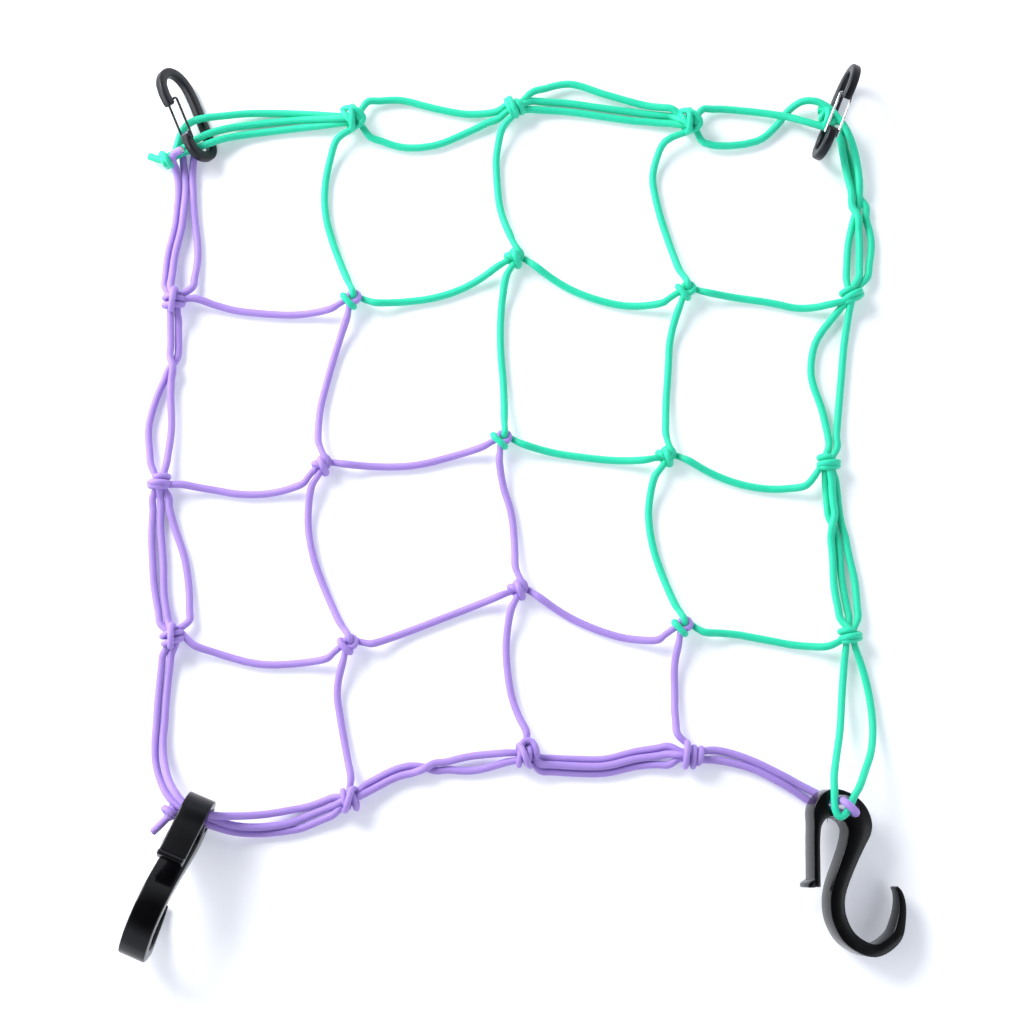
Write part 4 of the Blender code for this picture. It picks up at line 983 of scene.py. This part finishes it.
# %% The strap's line and where the hooks lie
# Sections along the hook in its own plane: middle x, middle y, thickness.
HOOK = (
    (-9.4, -36.6, 3.7), (-9.3, -23, 3.7), (-9.1, -10, 3.8), (-8.4, -3, 4.8),
    (-5.8, 4.2, 10.6), (0.4, 8.2, 15.2), (7.4, 6.6, 15.4), (13, 2.2, 15),
    (15.4, -4.6, 14.2), (13.2, -12.6, 11), (9.4, -21.6, 9.4), (3.1, -37.2, 8.7),
    (1.8, -46, 8.4), (3.3, -54.8, 8.3), (9.4, -64.6, 7.8), (23, -70.6, 7),
    (34.8, -63.8, 6.4), (38.6, -54, 5), (39.6, -45.6, 4), (38.6, -39.6, 3),
    (36.6, -36.6, 1.6),
)
TONGUE_ENDS = {"left_hook": -27.6, "right_hook": -36.6}     # y of the first section
HOOK_WIDTH = 15.0
TAPER_FROM = (30.0, -64.0)   # past this place the strap narrows towards its point
TAPER_LENGTH = 26.0
TIP_NARROWER = 0.4           # by this share of its width
HOOK_LIP = (3.4, 2.0, 4.8)   # how far the lip stands out, its height at its edge and at the strap
LIP_SUNK = (1.0, 0.3)        # how far it reaches into the strap and past its end
# the hole that the cords run through: middle line and half its width
HOOK_HOLE = ((2.2, 7.8), (6.6, 8.0), (10.6, 5.4))
HOOK_HOLE_HALF = 4.6
HOLE_STEP = 0.7
HOOK_SOFT, LIP_SOFT = 0.7, 0.8           # rounding of the edges
RIGHT_HOOK_AT = (170.4, -170.4)
HOOK_ROLL = math.radians(12)
LEFT_HOOK_AT = (-173.2, -172.3)
LEFT_HOOK_HEADING = math.radians(-113)   # plan direction from its hole to its bowl
LEFT_HOOK_PITCH = math.radians(21.2)     # it stands on its bowl's tip and on its hole's outer side


def outline_of(sections, fine):
    """Both edges of a strip with the given middle line and thickness."""
    rows = smooth(sections, fine)
    ways = np.gradient(rows[:, :2], axis=0)
    ways /= np.linalg.norm(ways, axis=1, keepdims=True)
    left = np.stack([-ways[:, 1], ways[:, 0]], axis=1)
    return rows[:, :2] + left * rows[:, 2:] / 2, rows[:, :2] - left * rows[:, 2:] / 2


def frame_matrix(x_axis, y_axis, z_axis, origin):
    """The turn and shift that put a piece with these axes at its place in the tables."""
    columns = zip(x_axis, y_axis, z_axis, (value * MM for value in origin))
    return Matrix((*columns, (0, 0, 0, 1)))


def right_hook_matrix():
    """Flat on its side, rolled a little so that the cords pass under its hole."""
    c, s = math.cos(HOOK_ROLL), math.sin(HOOK_ROLL)
    half = HOOK_WIDTH / 2
    return frame_matrix((c, 0, -s), (0, 1, 0), (s, 0, c), (RIGHT_HOOK_AT[0] + half * s, RIGHT_HOOK_AT[1], 0))


def left_hook_matrix():
    """Standing on the strap's edge, its free tongue uppermost."""
    heading = Vector((math.cos(LEFT_HOOK_HEADING), math.sin(LEFT_HOOK_HEADING), 0))
    up = Vector((0, 0, 1))
    c, s = math.cos(LEFT_HOOK_PITCH), math.sin(LEFT_HOOK_PITCH)
    x_axis = heading * s - up * c
    y_axis = -heading * c - up * s
    return frame_matrix(x_axis, y_axis, x_axis.cross(y_axis), (*LEFT_HOOK_AT, 0))


# %% Strips cut to a line


def add_strip(name, one, other, width):
    """A solid strip between two edge lines, width thick, centred on its own plane."""
    bpy.ops.mesh.primitive_grid_add(x_subdivisions=len(one) - 1, y_subdivisions=1, size=1)
    strip = bpy.context.object
    strip.name = name
    for vertex in strip.data.vertices:
        column = round((vertex.co.x + 0.5) * (len(one) - 1))
        x, y = (one if vertex.co.y > 0 else other)[column]
        vertex.co = (x * MM, y * MM, -width / 2 * MM)
    bpy.ops.object.mode_set(mode="EDIT")
    bpy.ops.mesh.select_all(action="SELECT")
    bpy.ops.mesh.extrude_region_move(TRANSFORM_OT_translate={"value": (0, 0, width * MM)})
    bpy.ops.object.mode_set(mode="OBJECT")
    turn_outward(strip, merge=False)
    return strip


def round_edges(piece, width, segments):
    """Bevels the piece's edges and applies it."""
    pick(piece)
    bevel = piece.modifiers.new("soft edges", "BEVEL")
    bevel.width = width * MM
    bevel.segments = segments
    bevel.limit_method = "ANGLE"
    bevel.angle_limit = math.radians(BEVEL_FROM)
    bevel.use_clamp_overlap = False
    bpy.ops.object.modifier_apply(modifier=bevel.name)
    shade(piece, MOULD_SHARP)


def slot_edges(line, half):
    """Both edges of a round-ended slot along a line."""
    points = np.array([(*point, 0) for point in line], float)
    ends = []
    for end, inner in ((points[0], points[1]), (points[-1], points[-2])):
        ends.append(end + (end - inner) / np.linalg.norm(end - inner) * half)
    rows = spread(smooth([ends[0], *points, ends[1]]), HOLE_STEP)
    along = np.linspace(0, (len(rows) - 1) * HOLE_STEP, len(rows))
    reach = np.minimum(np.minimum(along, along[::-1]), half)
    widths = 2 * np.sqrt(half ** 2 - (half - reach) ** 2) + 0.1
    return outline_of([(x, y, width) for (x, y, _), width in zip(rows, widths)], 1)


def combine(piece, other, how):
    """Joins another solid to the piece or cuts it out."""
    bpy.context.view_layer.objects.active = piece
    step = piece.modifiers.new("step", "BOOLEAN")
    step.operation = how
    step.object = other
    step.solver = "MANIFOLD"
    bpy.ops.object.modifier_apply(modifier=step.name)
    bpy.data.objects.remove(other)


# %% Shape the hooks
TO_SCENE = Matrix.Translation((-MIDDLE[0] * MM, -MIDDLE[1] * MM, 0))


def shape_hook(name, matrix, node):
    """A strap with its lip and slot, laid on the surface, in place of its CAD node."""
    tongue_x, _, tongue_thickness = HOOK[0]
    sections = ((tongue_x, TONGUE_ENDS[node], tongue_thickness), *HOOK[1:])
    one, other = (smooth(edge, 2) for edge in outline_of(sections, 3))
    hook = add_strip(name, one, other, HOOK_WIDTH)
    for vertex in hook.data.vertices:
        if vertex.co.x > TAPER_FROM[0] * MM:
            share = (vertex.co.y / MM - TAPER_FROM[1]) / TAPER_LENGTH
            vertex.co.z *= 1 - TIP_NARROWER * min(max(share, 0), 1)
    round_edges(hook, HOOK_SOFT, 3)
    (x, y), (out, low, high), (inside, past) = one[0], HOOK_LIP, LIP_SUNK
    lip = add_strip("lip", [(x - out, y - past), (x + inside, y - past)],
                    [(x - out, y + low), (x + inside, y + high)], HOOK_WIDTH)
    round_edges(lip, LIP_SOFT, 3)
    combine(hook, lip, "UNION")
    combine(hook, add_strip("slot", *slot_edges(HOOK_HOLE, HOOK_HOLE_HALF), HOOK_WIDTH + 4), "DIFFERENCE")
    shade(hook, MOULD_SHARP)
    hook.data.transform(matrix)
    lowest = min(vertex.co.z for vertex in hook.data.vertices)
    hook.data.transform(TO_SCENE @ Matrix.Translation((0, 0, -lowest)))
    dress(hook, black_plastic)
    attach(hook, "net")
    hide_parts(node)
    print(name, len(hook.data.polygons), "faces")


shape_hook("left_strap_hook", left_hook_matrix(), "left_hook")
shape_hook("right_strap_hook", right_hook_matrix(), "right_hook")

# %% [markdown]
# ## Clips with wire gates
# A clip's frame is a squarish bar bent in one plane, so it is made like the hooks. Its gate is
# a springy wire bent into a narrow U, whose two ends turn in holes at the foot of the frame.

# %% The clip's line and where the clips lie
# The bar's middle line: along the clip from its lower end, and across from its back.
CLIP = (
    (16.2, 18.8), (12, 19), (7.2, 18), (3.6, 14.8), (2.4, 10.6), (3.4, 6),
    (7.2, 3), (13.6, 2.6), (28, 2.6), (43, 3.4), (49.6, 5.6),
    (54, 9.6), (55.2, 14.6), (53.2, 19.4), (48.8, 22.8), (43.2, 23.8), (38.2, 23.4),
    (34.6, 22.4),
)
CLIP_BAR = 5.2               # the bar's diameter in the CAD model
GATE_WIRE = 1.4              # the gate wire's diameter
GATE_PIN = (16.2, 18.8)      # the gate turns here
GATE_TIP = (38.4, 19.5)      # its cross wire, against the inside of the nose
GATE_HALF = CLIP_BAR / 2 + GATE_WIRE / 2 + 0.35    # its legs run this far to each side of the middle
GATE_BEND = 1.6              # radius of its bends at the cross wire
# plan place of the back's middle line at the lower end, plan heading, lean to the left from upright
CLIPS = {
    "left": ((-168.8, 202.4), math.radians(111.5), math.radians(40)),
    "right": ((172.2, 201.9), math.radians(68.6), math.radians(-12)),
}


def clip_matrix(side):
    """Puts a clip at its place; its axes are along, across from its back to its gate, and through."""
    (x, y), heading, lean = CLIPS[side]
    along = Vector((math.cos(heading), math.sin(heading), 0))
    left = Vector((-along.y, along.x, 0))
    across = left * math.sin(lean) + Vector((0, 0, 1)) * math.cos(lean)
    origin = Vector((x, y, CLIP_BAR / 2)) - across * (CLIP_BAR / 2)
    return TO_SCENE @ frame_matrix(along, across, along.cross(across), origin)


# %% Shape the clips
BAR_ACROSS = 5.5             # the bar as seen from the side
BAR_THROUGH = 5.0            # and its thickness
BAR_SOFT = 1.3               # rounding of its edges
PIN_RADIUS = 1.7
PIN_DOME = 0.35              # of its radius
PIN_LENGTH = 2 * GATE_HALF - GATE_WIRE - 0.1     # between the gate's legs
LEG_PAST = 3.4               # the gate's legs run this far past the pin


def add_pin(side, finish):
    """The round pin that a gate turns on, its ends slightly domed."""
    bpy.ops.mesh.primitive_cylinder_add(vertices=32, radius=PIN_RADIUS * MM, depth=PIN_LENGTH * MM)
    pin = bpy.context.object
    pin.name = f"{side}_gate_pin"
    round_edges(pin, PIN_RADIUS * PIN_DOME, 3)
    pin.data.transform(clip_matrix(side) @ Matrix.Translation((*(value * MM for value in GATE_PIN), 0)))
    dress(pin, finish)
    return pin


def shape_clip(side, gate_finish, pin_finish):
    """A clip's frame, its gate and the gate's pin, in place of the clip's CAD nodes."""
    one, other = outline_of([(s, c, BAR_ACROSS) for s, c in CLIP], 5)
    bar = add_strip(f"{side}_clip_bar", one, other, BAR_THROUGH)
    round_edges(bar, BAR_SOFT, 4)
    bar.data.transform(clip_matrix(side))
    dress(bar, dark_paint)
    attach(bar, "net")
    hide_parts(f"{side}_clip_frame")
    (pin_s, pin_c), (tip_s, tip_c) = GATE_PIN, GATE_TIP
    leg = [(pin_s - LEG_PAST, pin_c, GATE_HALF), (pin_s + 1, pin_c, GATE_HALF),
           ((pin_s + tip_s) / 2, (pin_c + tip_c) / 2, GATE_HALF)]
    for turn in np.linspace(0, math.pi / 2, 5):
        leg.append((tip_s - GATE_BEND * (1 - math.sin(turn)), tip_c,
                    GATE_HALF - GATE_BEND * (1 - math.cos(turn))))
    wire = np.array(leg + [(s, c, -n) for s, c, n in leg[::-1]]) * MM
    gate = add_tube(f"{side}_gate_wire", wire, [1] * len(wire), GATE_WIRE / 2 * MM, WIRE_LEVEL)
    turn_outward(gate, merge=True)
    shade(gate, CORD_SHARP)
    gate.data.transform(clip_matrix(side))
    dress(gate, gate_finish)
    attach(gate, f"{side}_gate")
    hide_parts(f"{side}_clip_gate")
    pin = add_pin(side, pin_finish)
    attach(pin, f"{side}_gate")
    print(side, "clip", len(bar.data.polygons), "faces, gate", len(gate.data.polygons))


shape_clip("left", dark_paint, dull_steel)
shape_clip("right", bright_steel, dark_paint)
